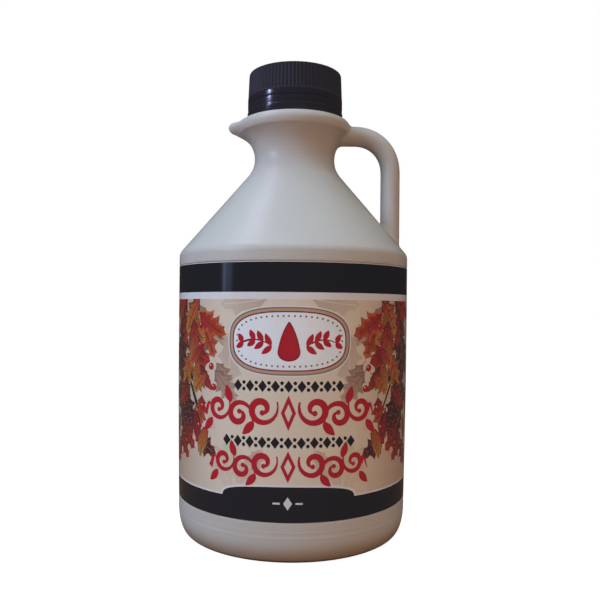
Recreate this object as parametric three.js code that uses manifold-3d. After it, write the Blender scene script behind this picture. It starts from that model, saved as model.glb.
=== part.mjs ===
// One litre syrup jug: a blow-moulded bottle with a small pouring beak and a loop handle,
// a printed sleeve round the body, a ribbed screw cap and the ring below it.
// Millimetres, +Z up. The origin is the centre of the base, the beak points to -X
// and the handle to +X.

import * as THREE from 'three';
import { ConvexGeometry } from 'three/addons/geometries/ConvexGeometry.js';
import { mergeVertices } from 'three/addons/utils/BufferGeometryUtils.js';
import Module from 'manifold-3d';

const wasm = await Module();
wasm.setup();

// Driving dimensions
const JUG_HEIGHT = 201.7;
const BODY_RADIUS = 50.8;
const GAP = 0.3;

// How finely the round shapes are divided
const ROUND_SEGMENTS = 64;
const HEEL_STEPS = 5;
const WALL_STEPS = 3;
const SHOULDER_STEPS = 2;
const NECK_STEPS = 8;
const BEAK_ROOT_STEPS = 8;
const BEAK_TIP_SEGMENTS = 14;
const BEAK_TIP_ROWS = 10;
const HANDLE_BEND_STEPS = 12;
const HANDLE_STEPS = 26;
const HANDLE_SECTION_STEPS = 8;
const WELD_DISTANCE = 1e-4;

// Body wall, which narrows a little below its widest height
const TAPER_TOP_Z = 100;
const TAPER_REACH = 80;
const TAPER_DEPTH = 0.79;
const SHOULDER_Z = 120.5;
const SHOULDER_ROUND = 1.2;
const CONE_HALF_ANGLE = THREE.MathUtils.degToRad(40.3);

// Base: a flat ring to stand on, a shallow hollow inside it and a rounded heel outside
const HEEL_HEIGHT = 11;
const HEEL_DEPTH = 4.2;
const FOOT_WIDTH = 6;
const HOLLOW_DEPTH = 3;
const HOLLOW_SLOPE_WIDTH = 8;

// Sleeve label and the shallow panel that it lies in
const LABEL_BOTTOM_Z = 16.4;
const LABEL_TOP_Z = 114.8;
const LABEL_THICKNESS = 0.3;
const PANEL_MARGIN = 0.3;
const PANEL_STEP = 0.3;

// Neck and the flared collar above it
const NECK_RADIUS = 17.6;
const NECK_Z = 164.5;
const NECK_ROUND = 13;
const COLLAR_UNDER_Z = 175.7;
const COLLAR_RADIUS = 25.2;
const COLLAR_NOSE_Z = 177.6;
const COLLAR_EDGE_RADIUS = 24.8;
const COLLAR_EDGE_Z = 179.4;
const COLLAR_TOP_RADIUS = 24;
const COLLAR_TOP_Z = 180.2;
const SPIGOT_RADIUS = 18.6;

// Pouring beak: the collar drawn out to a flattened round tip, with a sloping underside
const BEAK_TIP_X = -27;
const BEAK_TIP_Z = 178.3;
const BEAK_TIP_RADIUS = 3.2;
const BEAK_TIP_HALF_HEIGHT = 2.6;
const BEAK_HALF_ANGLE = THREE.MathUtils.degToRad(38);
const BEAK_INSET = 0.2;
const BEAK_NECK_RADIUS = 18.6;
const BEAK_NECK_Z = 170.4;
const BEAK_HEART_RADIUS = 14;
const BEAK_HEART_Z = 179;

// Handle: an oval bar along one planar route
const HANDLE_THICKNESS = 8.55;
const HANDLE_DEPTH = 12.4;
const HANDLE_ARM_Z = 175.15;
const HANDLE_GRIP_X = 43.48;
const HANDLE_START_X = 12;
const HANDLE_BEND_START_X = 27;
const HANDLE_BEND_END_Z = 158;
const HANDLE_BEND_SQUARENESS = 2.15;
const HANDLE_END_Z = 118;

// Ring below the cap
const RING_BOTTOM_Z = 180.65;
const RING_BOTTOM_RADIUS = 20.9;
const RING_TOP_Z = 187.7;
const RING_RADIUS = 21.35;
const RING_LIP_Z = 183.1;
const RING_LIP_HEIGHT = 1.2;
const RING_LIP_PROUD = 0.15;
const RING_GROOVE_HEIGHT = 0.6;
const RING_GROOVE_DEPTH = 0.4;
const RING_DRAFT = 0.1;
const RING_BORE_RADIUS = SPIGOT_RADIUS + GAP;

// Screw cap
const CAP_BOTTOM_Z = 188.15;
const CAP_BEAD_HEIGHT = 2.6;
const CAP_BEAD_RADIUS = 21.35;
const CAP_TOP_RADIUS = 20.9;
const CAP_TOP_ROUND = 0.35;
const RIB_COUNT = 82;
const RIB_HEIGHT = 0.45;
const RIM_OVERLAP = 0.3;
const RIB_BOTTOM_Z = CAP_BOTTOM_Z + CAP_BEAD_HEIGHT;
const RIB_TOP_Z = JUG_HEIGHT - CAP_TOP_ROUND;

function point(radius, z) {
  return new THREE.Vector2(radius, z);
}

// Points of an elliptical arc round a centre; angles start at +radius and turn towards +Z.
function arc(centreRadius, centreZ, radiusAcross, radiusUp, startAngle, endAngle, steps) {
  const curve = new THREE.EllipseCurve(
    centreRadius, centreZ, radiusAcross, radiusUp, startAngle, endAngle, endAngle < startAngle);
  return curve.getPoints(steps);
}

// A turned solid about Z from an outline of (radius, z) points that runs upwards on its outside.
function turned(outline, segments = ROUND_SEGMENTS) {
  const geometry = new THREE.LatheGeometry(outline, segments);
  geometry.rotateX(Math.PI / 2);
  return geometry;
}

function toSolid(geometry) {
  const bare = geometry.clone();
  bare.deleteAttribute('normal');
  bare.deleteAttribute('uv');
  const merged = mergeVertices(bare, WELD_DISTANCE);
  const mesh = new wasm.Mesh({
    numProp: 3,
    vertProperties: new Float32Array(merged.attributes.position.array),
    triVerts: new Uint32Array(merged.index.array),
  });
  return new wasm.Manifold(mesh);
}

function toGeometry(solid) {
  const mesh = solid.getMesh();
  const geometry = new THREE.BufferGeometry();
  geometry.setAttribute('position', new THREE.BufferAttribute(new Float32Array(mesh.vertProperties), 3));
  geometry.setIndex(new THREE.BufferAttribute(new Uint32Array(mesh.triVerts), 1));
  geometry.computeVertexNormals();
  return geometry;
}

function wallRadius(z) {
  const below = Math.max(0, TAPER_TOP_Z - z) / TAPER_REACH;
  return BODY_RADIUS - TAPER_DEPTH * below * below;
}

// Outline of a band of the body wall between two heights, moved inwards by an inset.
function wallPoints(bottomZ, topZ, inset, steps) {
  const points = [];
  for (let i = 0; i <= steps; i += 1) {
    const z = THREE.MathUtils.lerp(bottomZ, topZ, i / steps);
    points.push(point(wallRadius(z) - inset, z));
  }
  return points;
}

function bottleOutline() {
  const heelRadius = wallRadius(HEEL_HEIGHT);
  const footRadius = heelRadius - HEEL_DEPTH;
  const panelInset = LABEL_THICKNESS + GAP;
  const panelBottom = LABEL_BOTTOM_Z - PANEL_MARGIN;
  const panelTop = LABEL_TOP_Z + PANEL_MARGIN;
  const neckCentre = NECK_RADIUS + NECK_ROUND;
  const underAngle = Math.asin((COLLAR_UNDER_Z - NECK_Z) / NECK_ROUND);
  const shoulderCentreZ = SHOULDER_Z - SHOULDER_ROUND * Math.tan(CONE_HALF_ANGLE / 2);
  return [
    point(0, HOLLOW_DEPTH),
    point(footRadius - FOOT_WIDTH - HOLLOW_SLOPE_WIDTH, HOLLOW_DEPTH),
    point(footRadius - FOOT_WIDTH, 0),
    ...arc(footRadius, HEEL_HEIGHT, HEEL_DEPTH, HEEL_HEIGHT, -Math.PI / 2, 0, HEEL_STEPS),
    point(wallRadius(panelBottom - PANEL_STEP), panelBottom - PANEL_STEP),
    ...wallPoints(panelBottom, panelTop, panelInset, WALL_STEPS),
    point(BODY_RADIUS, panelTop + PANEL_STEP),
    ...arc(BODY_RADIUS - SHOULDER_ROUND, shoulderCentreZ, SHOULDER_ROUND, SHOULDER_ROUND, 0,
      CONE_HALF_ANGLE, SHOULDER_STEPS),
    ...arc(neckCentre, NECK_Z, NECK_ROUND, NECK_ROUND, Math.PI + CONE_HALF_ANGLE,
      Math.PI - underAngle, NECK_STEPS),
    point(COLLAR_RADIUS, COLLAR_NOSE_Z),
    point(COLLAR_EDGE_RADIUS, COLLAR_EDGE_Z),
    point(COLLAR_TOP_RADIUS, COLLAR_TOP_Z),
    point(SPIGOT_RADIUS, RING_BOTTOM_Z - GAP),
    point(SPIGOT_RADIUS, CAP_BOTTOM_Z - GAP),
    point(0, CAP_BOTTOM_Z - GAP),
  ];
}

// Points of an arc round the axis that faces the beak's side.
function frontArc(radius, z) {
  const points = [];
  for (let i = 0; i <= BEAK_ROOT_STEPS; i += 1) {
    const angle = Math.PI + BEAK_HALF_ANGLE * ((2 * i) / BEAK_ROOT_STEPS - 1);
    points.push(new THREE.Vector3(radius * Math.cos(angle), radius * Math.sin(angle), z));
  }
  return points;
}

// The beak is the hull of its tip and of arcs that lie in the collar and in the neck.
function beakGeometry() {
  const points = [
    ...frontArc(BEAK_NECK_RADIUS, BEAK_NECK_Z),
    ...frontArc(COLLAR_RADIUS - BEAK_INSET, COLLAR_NOSE_Z),
    ...frontArc(COLLAR_EDGE_RADIUS - BEAK_INSET, COLLAR_EDGE_Z),
    ...frontArc(BEAK_HEART_RADIUS, BEAK_HEART_Z),
  ];
  const tip = new THREE.SphereGeometry(BEAK_TIP_RADIUS, BEAK_TIP_SEGMENTS, BEAK_TIP_ROWS);
  tip.rotateX(Math.PI / 2);
  tip.scale(1, 1, BEAK_TIP_HALF_HEIGHT / BEAK_TIP_RADIUS);
  tip.translate(BEAK_TIP_X, 0, BEAK_TIP_Z);
  const corners = tip.attributes.position;
  for (let i = 0; i < corners.count; i += 1) {
    points.push(new THREE.Vector3().fromBufferAttribute(corners, i));
  }
  return new ConvexGeometry(points);
}

class HandleRoute extends THREE.CurvePath {
  constructor() {
    super();
    const bendAcross = HANDLE_GRIP_X - HANDLE_BEND_START_X;
    const bendUp = HANDLE_ARM_Z - HANDLE_BEND_END_Z;
    const bend = [];
    const power = 2 / HANDLE_BEND_SQUARENESS;
    for (let i = 0; i <= HANDLE_BEND_STEPS; i += 1) {
      const along = i / HANDLE_BEND_STEPS;
      const across = Math.sin((Math.PI / 2) * along) ** power;
      const up = Math.sin((Math.PI / 2) * (1 - along)) ** power;
      bend.push(new THREE.Vector3(
        HANDLE_BEND_START_X + bendAcross * across,
        0,
        HANDLE_BEND_END_Z + bendUp * up));
    }
    const start = new THREE.Vector3(HANDLE_START_X, 0, HANDLE_ARM_Z);
    const end = new THREE.Vector3(HANDLE_GRIP_X, 0, HANDLE_END_Z);
    this.add(new THREE.LineCurve3(start, bend[0]));
    this.add(new THREE.CatmullRomCurve3(bend));
    this.add(new THREE.LineCurve3(bend[HANDLE_BEND_STEPS], end));
  }
}

function handleGeometry() {
  const section = new THREE.Shape();
  section.absellipse(0, 0, HANDLE_THICKNESS / 2, HANDLE_DEPTH / 2, 0, 2 * Math.PI);
  return new THREE.ExtrudeGeometry(section, {
    steps: HANDLE_STEPS,
    curveSegments: HANDLE_SECTION_STEPS,
    bevelEnabled: false,
    extrudePath: new HandleRoute(),
  });
}

function bottleGeometry() {
  const turnedBody = toSolid(turned(bottleOutline()));
  return toGeometry(turnedBody.add(toSolid(beakGeometry())).add(toSolid(handleGeometry())));
}

function sleeveGeometry() {
  const outside = wallPoints(LABEL_BOTTOM_Z, LABEL_TOP_Z, 0, WALL_STEPS);
  const inside = wallPoints(LABEL_BOTTOM_Z, LABEL_TOP_Z, LABEL_THICKNESS, WALL_STEPS).reverse();
  return turned([...outside, ...inside, outside[0]]);
}

function ringGeometry() {
  const lipRadius = RING_RADIUS + RING_LIP_PROUD;
  const grooveRadius = RING_RADIUS - RING_GROOVE_DEPTH;
  const lipTop = RING_LIP_Z + RING_LIP_HEIGHT;
  const grooveTop = lipTop + RING_GROOVE_HEIGHT;
  return turned([
    point(RING_BORE_RADIUS, RING_BOTTOM_Z),
    point(RING_BOTTOM_RADIUS, RING_BOTTOM_Z),
    point(lipRadius, RING_LIP_Z),
    point(lipRadius, lipTop),
    point(grooveRadius, lipTop),
    point(grooveRadius, grooveTop),
    point(RING_RADIUS, grooveTop),
    point(RING_RADIUS - RING_DRAFT, RING_TOP_Z),
    point(RING_BORE_RADIUS, RING_TOP_Z),
    point(RING_BORE_RADIUS, RING_BOTTOM_Z),
  ]);
}

function polar(radius, angle) {
  return new THREE.Vector2(radius * Math.cos(angle), radius * Math.sin(angle));
}

// A ribbed rim is an extruded wheel outline that narrows evenly towards its top.
function ribbedRimGeometry() {
  const outline = new THREE.Shape();
  const pitch = (2 * Math.PI) / RIB_COUNT;
  const corners = [];
  for (let i = 0; i < RIB_COUNT; i += 1) {
    corners.push(polar(CAP_BEAD_RADIUS, i * pitch));
    corners.push(polar(CAP_BEAD_RADIUS - RIB_HEIGHT, (i + 0.5) * pitch));
  }
  outline.setFromPoints(corners);
  const depth = RIB_TOP_Z - RIB_BOTTOM_Z;
  const geometry = new THREE.ExtrudeGeometry(outline, { depth, steps: 1, bevelEnabled: false });
  const positions = geometry.attributes.position;
  for (let i = 0; i < positions.count; i += 1) {
    const narrowing = 1 + (CAP_TOP_RADIUS / CAP_BEAD_RADIUS - 1) * (positions.getZ(i) / depth);
    positions.setX(i, positions.getX(i) * narrowing);
    positions.setY(i, positions.getY(i) * narrowing);
  }
  geometry.translate(0, 0, RIB_BOTTOM_Z);
  return geometry;
}

function capGeometry() {
  const coreRadius = CAP_TOP_RADIUS - RIB_HEIGHT;
  const bead = turned([
    point(0, CAP_BOTTOM_Z),
    point(CAP_BEAD_RADIUS, CAP_BOTTOM_Z),
    point(CAP_BEAD_RADIUS, RIB_BOTTOM_Z),
    point(coreRadius, RIB_BOTTOM_Z + RIM_OVERLAP),
    point(coreRadius, RIB_TOP_Z - RIM_OVERLAP),
    point(CAP_TOP_RADIUS, RIB_TOP_Z - RIM_OVERLAP / 2),
    point(CAP_TOP_RADIUS - CAP_TOP_ROUND, JUG_HEIGHT),
    point(0, JUG_HEIGHT),
  ], RIB_COUNT);
  return toGeometry(toSolid(bead).add(toSolid(ribbedRimGeometry())));
}

function named(name, geometry, colour, roughness) {
  const material = new THREE.MeshStandardMaterial({ color: colour, roughness, metalness: 0 });
  const mesh = new THREE.Mesh(geometry, material);
  mesh.name = name;
  return mesh;
}

const MILKY_PLASTIC = 0xb4aeab;
const PALE_LABEL = 0xd9cfc4;
const BLACK_PLASTIC = 0x1d1b20;

const jug = new THREE.Group();
jug.add(
  named('bottle', bottleGeometry(), MILKY_PLASTIC, 0.42),
  named('label_sleeve', sleeveGeometry(), PALE_LABEL, 0.35),
  named('cap_ring', ringGeometry(), BLACK_PLASTIC, 0.3),
  named('screw_cap', capGeometry(), BLACK_PLASTIC, 0.3),
);

export default jug;
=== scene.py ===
import math
import random

import bpy
import numpy as np
from mathutils import Matrix, Vector
from mathutils.geometry import delaunay_2d_cdt


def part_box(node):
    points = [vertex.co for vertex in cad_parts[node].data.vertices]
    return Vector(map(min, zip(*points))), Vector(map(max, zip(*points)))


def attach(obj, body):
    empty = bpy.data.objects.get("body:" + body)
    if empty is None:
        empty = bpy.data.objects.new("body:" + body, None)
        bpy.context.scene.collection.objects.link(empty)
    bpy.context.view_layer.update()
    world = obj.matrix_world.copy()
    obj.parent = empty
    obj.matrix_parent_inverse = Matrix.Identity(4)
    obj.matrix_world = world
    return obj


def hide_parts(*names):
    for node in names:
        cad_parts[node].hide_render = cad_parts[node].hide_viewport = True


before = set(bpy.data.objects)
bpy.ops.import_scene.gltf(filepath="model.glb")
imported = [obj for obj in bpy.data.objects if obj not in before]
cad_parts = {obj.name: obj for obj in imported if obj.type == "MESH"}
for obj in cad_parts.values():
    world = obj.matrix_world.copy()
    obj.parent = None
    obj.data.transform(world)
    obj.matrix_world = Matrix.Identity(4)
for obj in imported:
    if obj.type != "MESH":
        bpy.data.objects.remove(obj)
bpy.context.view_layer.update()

# The looks of a filled one litre syrup jug: milky bottle, printed sleeve, tamper ring and ribbed cap.
# Lengths are millimetres until a mesh is made. The camera looks along +y, the handle is on +x and the
# beak on -x. Angles on the label start at the front and turn towards the handle.
MM = 0.001


def node_box(node):
    """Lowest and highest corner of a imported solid, in millimetres to two decimals."""
    return [[round(value / MM, 2) for value in corner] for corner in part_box(node)]


BOTTLE_BOX = node_box("bottle")
LABEL_BOX = node_box("label_sleeve")
RING_BOX = node_box("cap_ring")
CAP_BOX = node_box("screw_cap")

# Camera, fitted to the ellipses of the cap, the label and the base
CAMERA_DISTANCE = 295.78
CAMERA_HEIGHT = 97.44
CAMERA_PITCH = math.radians(-0.635)
CAMERA_YAW = math.radians(0.594)
CAMERA_ROLL = math.radians(-0.55)
FOCAL_PIXELS = 652.68
IMAGE_PIXELS = 600
SENSOR_WIDTH = 36
NEAREST_SEEN = 10

# Body wall, which narrows a little below the taper's top
BODY_RADIUS = BOTTLE_BOX[1][0]
TAPER_TOP_Z = 100
TAPER_REACH = 80
TAPER_DEPTH = 0.79
SHOULDER_Z = 120.5
SHOULDER_ROUND = 4.5
CONE_SLOPE = math.tan(math.radians(40.3))

# Base: a rounded heel with two fine mould lines, a flat standing ring and a shallow hollow
HEEL_HEIGHT = 11
HEEL_DEPTH = 4.2
HEEL_STEPS = 24
FOOT_WIDTH = 6
FOOT_ROUND = 1.5
HOLLOW_DEPTH = 3
HOLLOW_SLOPE_WIDTH = 8
HOLLOW_ROUND = 5
HOLLOW_FLAT_RADIUS = 12
HOLLOW_CENTRE_RADIUS = 0.6
MOULD_LINES_Z = (12.4, 10.2)
MOULD_LINE_HEIGHT = 0.04
MOULD_LINE_WIDTH = 0.3
MOULD_LINES_TOP_Z = 13.4
MOULD_LINES_BOTTOM_Z = 9.4
MOULD_ROW_STEP = 0.2

# Neck, collar and the spigot inside the ring
NECK_CORNER_RADIUS = 10.7
NECK_CORNER_Z = 167.87
NECK_ROUND = 12.7
COLLAR_UNDER = (24.8, 175.2)
COLLAR_UNDER_ROUND = 3.0
COLLAR_NOSE = (25.2, 177.9)
COLLAR_NOSE_ROUND = 2.4
COLLAR_TOP = (24.0, 180.2)
COLLAR_TOP_ROUND = 1.2
SPIGOT_RADIUS = 18.6
SPIGOT_BOTTOM_Z = 180.35
SPIGOT_TOP_Z = BOTTLE_BOX[1][2]
SPIGOT_FOOT_ROUND = 0.2
SPIGOT_TOP_ROUND = 0.3

# Beak: the collar drawn out to a round tip, with a sloping underside
BEAK_TIP_X = -27
BEAK_TIP_RADIUS = 3.2
BEAK_ROOT_RADIUS = 24.7
BEAK_LIFT = 0.7
BEAK_LIFT_START = 23
BEAK_LIFT_END = 29
BEAK_UNDER_Z = 176.8
BEAK_UNDER_SLOPE = 0.53
BEAK_TOP_ROUND = 3.6
BEAK_UNDER_ROUND = 2.0

# Handle
HANDLE_HALF_THICKNESS = 4.275
HANDLE_HALF_DEPTH = 6.2
HANDLE_ARM_Z = 175.15
HANDLE_GRIP_X = 43.48
HANDLE_START_X = 12
HANDLE_BEND_START_X = 27
HANDLE_BEND_END_Z = 158
HANDLE_BEND_SQUARENESS = 2.15
HANDLE_END_Z = 118
HANDLE_BEND_STEPS = 48
HANDLE_FIELD_START_X = HANDLE_START_X - 6
HANDLE_FIELD_HALF_WIDTH = 3 * HANDLE_HALF_DEPTH

# Light that comes from the room, as linear colours, and the share of it that glossy skins mirror
BOARD = (0.14, 0.065, 0.035)
SKY_AROUND = (0.12, 0.065, 0.045)
SKY_ABOVE = (0.80, 1.16, 1.22)
SKY_MIRRORED = 0.2
# A painted cool sheen: a faint glow that the printed film and the black plastic give off
PAINTED_SHEEN = (0.80, 0.82, 1.0)
PAINTED_SHEEN_STRENGTH = 0.0095

# Pale floor
FLOOR_REACH = 6000
FLOOR_GREY = (0.16, 0.16, 0.16)
FLOOR_GLOW = 0.95

# How the moulding is meshed: even cells above the cut, turned rows below it. FAR is further from
# the axis than any part of the jug.
CUT_Z = 122.3
CUT_RADIUS = BODY_RADIUS - (CUT_Z - SHOULDER_Z) * CONE_SLOPE
VOXEL = 0.81
FIELD_STEP = 0.2
FIELD_HEADROOM = 10
SLOPE_STEP = 0.1
LEAST_SLOPE = 0.5
NORMAL_STEP = 0.45
FAR = 60.0
FIRST_SETTLE_ROUNDS = 8
LAST_SETTLE_ROUNDS = 2
RELAX_ROUNDS = 14
RELAX_SHARE = 0.7
RIM_ROUNDS = 40
ARC_STEP = math.radians(9)
EDGE_STEP = math.radians(20)

# Roundings where the handle's arm, the handle's foot and the beak meet the turned body
ARM_BLEND = 1.5
FOOT_BLEND = 1.8
BEAK_BLEND = 1.8
LEAST_BLEND = 0.02
FOOT_BLEND_REACH = 4
ARM_BLEND_START_Z = 150
ARM_BLEND_END_Z = 165

# Label, its lap at the back, and the shallow panel of the bottle that it lies in
LABEL_BOTTOM_Z = LABEL_BOX[0][2]
LABEL_TOP_Z = LABEL_BOX[1][2]
LABEL_THICKNESS = 0.3
PANEL_INSET = 0.6
PANEL_MARGIN = 0.1
PANEL_EDGE_RISE = 0.3
PANEL_EDGE_LEAD = 0.6
PANEL_EDGE_ROUND = 0.25
PANEL_FOOT_ROUND = 0.1
PANEL_ROWS = 6
PANEL_LOWEST_ROW_LEAD = 6
PANEL_HIGHEST_ROW_LEAD = 12
PANEL_FOOT_LEAD = 2
LAP_ANGLE = math.radians(125)
LABEL_COLUMNS = 160
LABEL_ROWS = 26

# Print, in distances round the jug from the front, and in heights
PRINT_LAYER = "print"
LABEL_LENGTH = 2 * math.pi * BODY_RADIUS
LABEL_RIGHT = LAP_ANGLE * BODY_RADIUS
LABEL_LEFT = LABEL_RIGHT - LABEL_LENGTH
PRINT_CENTRE = -1.4
ART_TOP_Z = 100.4
TOP_BAND_Z = 103.1
LOWER_BAND_Z = 25.0
MARGIN_LINE = 0.7
TRIM_LINE = 0.25
ARCH_TOP_Z = 29.8
ARCH_HALF_WIDTH = 27.0
ARCH_SUNK = 0.6
SMOKE_START = 22
SMOKE_MIDDLE = 54
SMOKE_END = 86
BOUGH_TOP_Z = 104
BERRY_COUNT = 6
BERRY_TOP_Z = 94
BERRY_REACH = 48
BADGE_Z = 84.6
BADGE_HALF_WIDTH = 24.5
BADGE_HALF_HEIGHT = 13.4
BADGE_POWER = 0.72
BEAD_INSET = 3.9
BEAD_COUNT = 48
FRIEZE_START = 4.6
LOZENGE_PITCH = 2.5
LOZENGE_HALF_WIDTH = 1.75
LOZENGE_HALF_HEIGHT = 2.3
DOT_RADIUS = 0.72
DOT_RISE = 1.25
VOLUME_MARK_Z = 23.6
BACK_PANEL_Z = 62
BACK_PANEL_CORNER = 4
BACK_BAR_COUNT = 11
BACK_BAR_TOP_Z = 87
BACK_BAR_PITCH = 4.6
BACK_BAR_HEIGHT = 1.3
BACK_BAR_LENGTHS = (42, 26)

# Leaves of the print: where they are widest, how full they are and how their lobes stand
LEAF_SKEW = 0.85
LEAF_FULLNESS = 0.8
PLAIN_LEAF_STEPS = 16
PLAIN_LEAF_BEND = 0.4
STEPS_PER_LOBE = 6
LOBE_SHARPNESS = 1.5
LOBE_LEAN = 0.09
DEEP_LOBES = 0.5
SMALL_TEETH = 0.12
GHOST_LOBES = 4
GHOST_LOBE_DEPTH = 0.45
GHOST_BEND = 0.3
HEART_LENGTH = 0.84
HEART_WIDTH = 0.3
HEART_START = 0.03
STALK_END = -0.14
MIDRIB_END = 0.9
MIDRIB_STEPS = 9
VEIN_REACH = 0.36

# Ring
RING_BOTTOM_Z = RING_BOX[0][2]
RING_BOTTOM_RADIUS = 20.9
RING_LIP_Z = 183.1
RING_LIP_TOP_Z = 184.3
RING_GROOVE_TOP_Z = 184.9
RING_TOP_Z = RING_BOX[1][2]
RING_RADIUS = 21.35
RING_LIP_PROUD = 0.15
RING_GROOVE_DEPTH = 0.12
RING_BORE_RADIUS = 18.9
RING_WALL_LEAN = 0.1
RING_LIP_LEAN = 0.05
RING_EDGE_ROUND = 0.3
RING_FOOT_ROUND = 0.25
RING_SKIRT_ROUND = 2.0
RING_LIP_ROUND = 0.2
RING_GROOVE_ROUND = 0.12
RING_FINE_ROUND = 0.1
RING_COLUMNS = 288

# Bridges between the ring and the cap
BRIDGE_COUNT = 18
BRIDGE_HALF_WIDTH = 0.45
BRIDGE_TOP_SHARE = 0.6
BRIDGE_INNER_RADIUS = 20.3
BRIDGE_OUTER_RADIUS = 20.95
BRIDGE_SUNK = 0.05
BRIDGE_GAP = 0.02

# Cap: a bead at its foot, ribs above it, a dished top and, in its middle, the mark of the gate
CAP_BOTTOM_Z = CAP_BOX[0][2]
CAP_BEAD_TOP_Z = 190.7
CAP_BEAD_RADIUS = CAP_BOX[1][0]
CAP_TOP_RADIUS = 20.9
CAP_TOP_Z = CAP_BOX[1][2]
CAP_BEAD_MIDDLE = 1.3
CAP_BEAD_CURVE = 18.0
CAP_BEAD_SAG = 0.06
CAP_FOOT_ROUND = 0.15
CAP_CROWN_ROUND = 0.3
CAP_INSIDE_RADIUS = 4
CAP_SIDE_ROWS = 16
CAP_DISH_RADIUS = 17.2
CAP_DISH_SLOPE = 0.4
CAP_DISH_DEPTH = 0.35
CAP_DISH_ROUND = 0.5
CAP_GATE = ((3, 0), (1.6, 0.1), (0.3, 0.15))
CAP_SIDE_SET_BACK = 0.12
CAP_SIDE_FOOT_GAP = 0.35
CAP_SIDE_TOP_GAP = 0.7
CAP_CROWN_SET_BACK = 0.1
CAP_CROWN_LEAD = 0.5

# Ribs of the cap
RIB_COUNT = 82
RIB_HEIGHT = 0.32
RIB_SHARPNESS = 1.3
COLUMNS_PER_RIB = 8
RIB_CROWN_FADE = (1.2, 0.3)
RIB_BEAD_FADE = (0.1, 0.5)
RIB_TOP_FADE = (0.3, 0.02)


def smoothstep(low, high, value):
    t = np.clip((value - low) / (high - low), 0, 1)
    return t * t * (3 - 2 * t)


def linear(red, green, blue):
    """Linear colour of an sRGB colour given in 0 to 255."""
    shares = np.array((red, green, blue)) / 255
    return np.where(shares <= 0.04045, shares / 12.92, ((shares + 0.055) / 1.055) ** 2.4)


# Parting line of the moulding: how far it is level and where it ends, and its height
SEAM_HALF_WIDTHS = (0.08, 0.28)
SEAM_HEIGHT = 0.06

# Painted light on the milky resin: shade down the heel to a contact shadow at the foot, and a brown
# reflection that darkens the rims as they turn away
FOOT_SHADE_HEIGHT = 9
RIM_REFLECTION_START = 0.84
RIM_REFLECTION_SHARE = 0.8

# How dull the black plastic is, and the height over which it changes
BEAD_ROUGHNESS = 0.17
RIB_ROUGHNESS = 0.6
ROUGHNESS_STEP_HEIGHT = 0.4

# Colours of the resins
MILKY = linear(197, 190, 187)
# Painted shade down the heel, a painted contact shadow at the foot, and a painted brown reflection at the
# rims
MILKY_HEEL_SHADE = linear(174, 154, 140)
MILKY_FOOT_SHADE = linear(58, 42, 38)
MILKY_RIM_REFLECTION = linear(150, 106, 80)
BLACK_RESIN = linear(33, 29, 40)

# Colours of the print
CREAM = linear(220, 203, 187)
SMOKE = linear(194, 168, 150)
MARGIN = linear(222, 216, 220)
BAND = linear(22, 23, 29)
INK = linear(24, 23, 32)
PALE_MARK = linear(214, 212, 216)
RED = linear(178, 22, 40)
DEEP_RED = linear(128, 18, 34)
BADGE_GROUND = linear(234, 234, 242)
BADGE_LINE = linear(122, 108, 92)
TAN_LINE = linear(186, 152, 130)
LEAF_DARK = linear(46, 26, 32)
LEAF_MAROON = linear(96, 30, 38)
LEAF_RED = linear(158, 40, 36)
LEAF_RUST = linear(178, 74, 44)
LEAF_ORANGE = linear(188, 96, 56)
LEAF_OCHRE = linear(180, 132, 62)
LEAF_PLUM = linear(128, 92, 84)
LEAF_HAZE = linear(162, 128, 112)
GHOST_TAN = linear(192, 168, 152)
GHOST_PEACH = linear(208, 180, 166)
GHOST_GREEN = linear(202, 196, 160)

# Colours of a leaf: its stalk end, its tip, its heart and its veins
WASHES = {
    "rust": (LEAF_ORANGE, LEAF_RUST, LEAF_RED, LEAF_MAROON),
    "flame": (LEAF_MAROON, LEAF_ORANGE, LEAF_RED, LEAF_DARK),
    "ember": (LEAF_DARK, LEAF_RED, LEAF_MAROON, LEAF_RUST),
    "dusk": (LEAF_DARK, LEAF_MAROON, LEAF_DARK, LEAF_PLUM),
    "gold": (LEAF_MAROON, LEAF_OCHRE, LEAF_RUST, LEAF_DARK),
    "haze": (LEAF_PLUM, GHOST_TAN, LEAF_HAZE, LEAF_PLUM),
}


# Outlines and meshes


def rounded(corners, arc_step=ARC_STEP):
    """An open outline through (radius, height, fillet) corners, with an arc at each fillet."""
    points = []
    last = len(corners) - 1
    for i, (radius, height, fillet) in enumerate(corners):
        corner = np.array((radius, height), float)
        if fillet == 0 or i in (0, last):
            points.append(corner)
            continue
        back = np.array(corners[i - 1][:2]) - corner
        ahead = np.array(corners[i + 1][:2]) - corner
        back /= np.linalg.norm(back)
        ahead /= np.linalg.norm(ahead)
        half = math.acos(np.clip(back @ ahead, -1, 1)) / 2
        middle = (back + ahead) / np.linalg.norm(back + ahead)
        centre = corner + middle * fillet / math.sin(half)
        start = corner + back * fillet / math.tan(half) - centre
        turn = math.pi - 2 * half
        if back[0] * ahead[1] - back[1] * ahead[0] > 0:
            turn = -turn
        steps = max(2, math.ceil(abs(turn) / arc_step))
        for k in range(steps + 1):
            angle = turn * k / steps
            c, s = math.cos(angle), math.sin(angle)
            points.append(centre + (start[0] * c - start[1] * s, start[0] * s + start[1] * c))
    return np.array(points)


def wall_radius(height):
    below = np.maximum(0, TAPER_TOP_Z - height) / TAPER_REACH
    return BODY_RADIUS - TAPER_DEPTH * below * below


def strip_faces(row, next_row):
    """Quads between two closed rows of points, which are given by their numbers."""
    faces = []
    for k in range(len(row)):
        n = (k + 1) % len(row)
        faces.append((row[k], row[n], next_row[n], next_row[k]))
    return faces


def grid_faces(rows, columns, first=0):
    """Quads of a grid of points that closes on itself across its columns."""
    faces = []
    for i in range(rows - 1):
        start = first + i * columns
        row = range(start, start + columns)
        faces += strip_faces(row, range(start + columns, start + 2 * columns))
    return faces


def ring_points(outline, angles):
    radii, heights = outline[:, 0, None], outline[:, 1, None]
    cosines, sines = np.cos(angles)[None], np.sin(angles)[None]
    points = np.stack([radii * cosines, radii * sines, heights + 0 * cosines], -1)
    return points.reshape(-1, 3)


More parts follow.
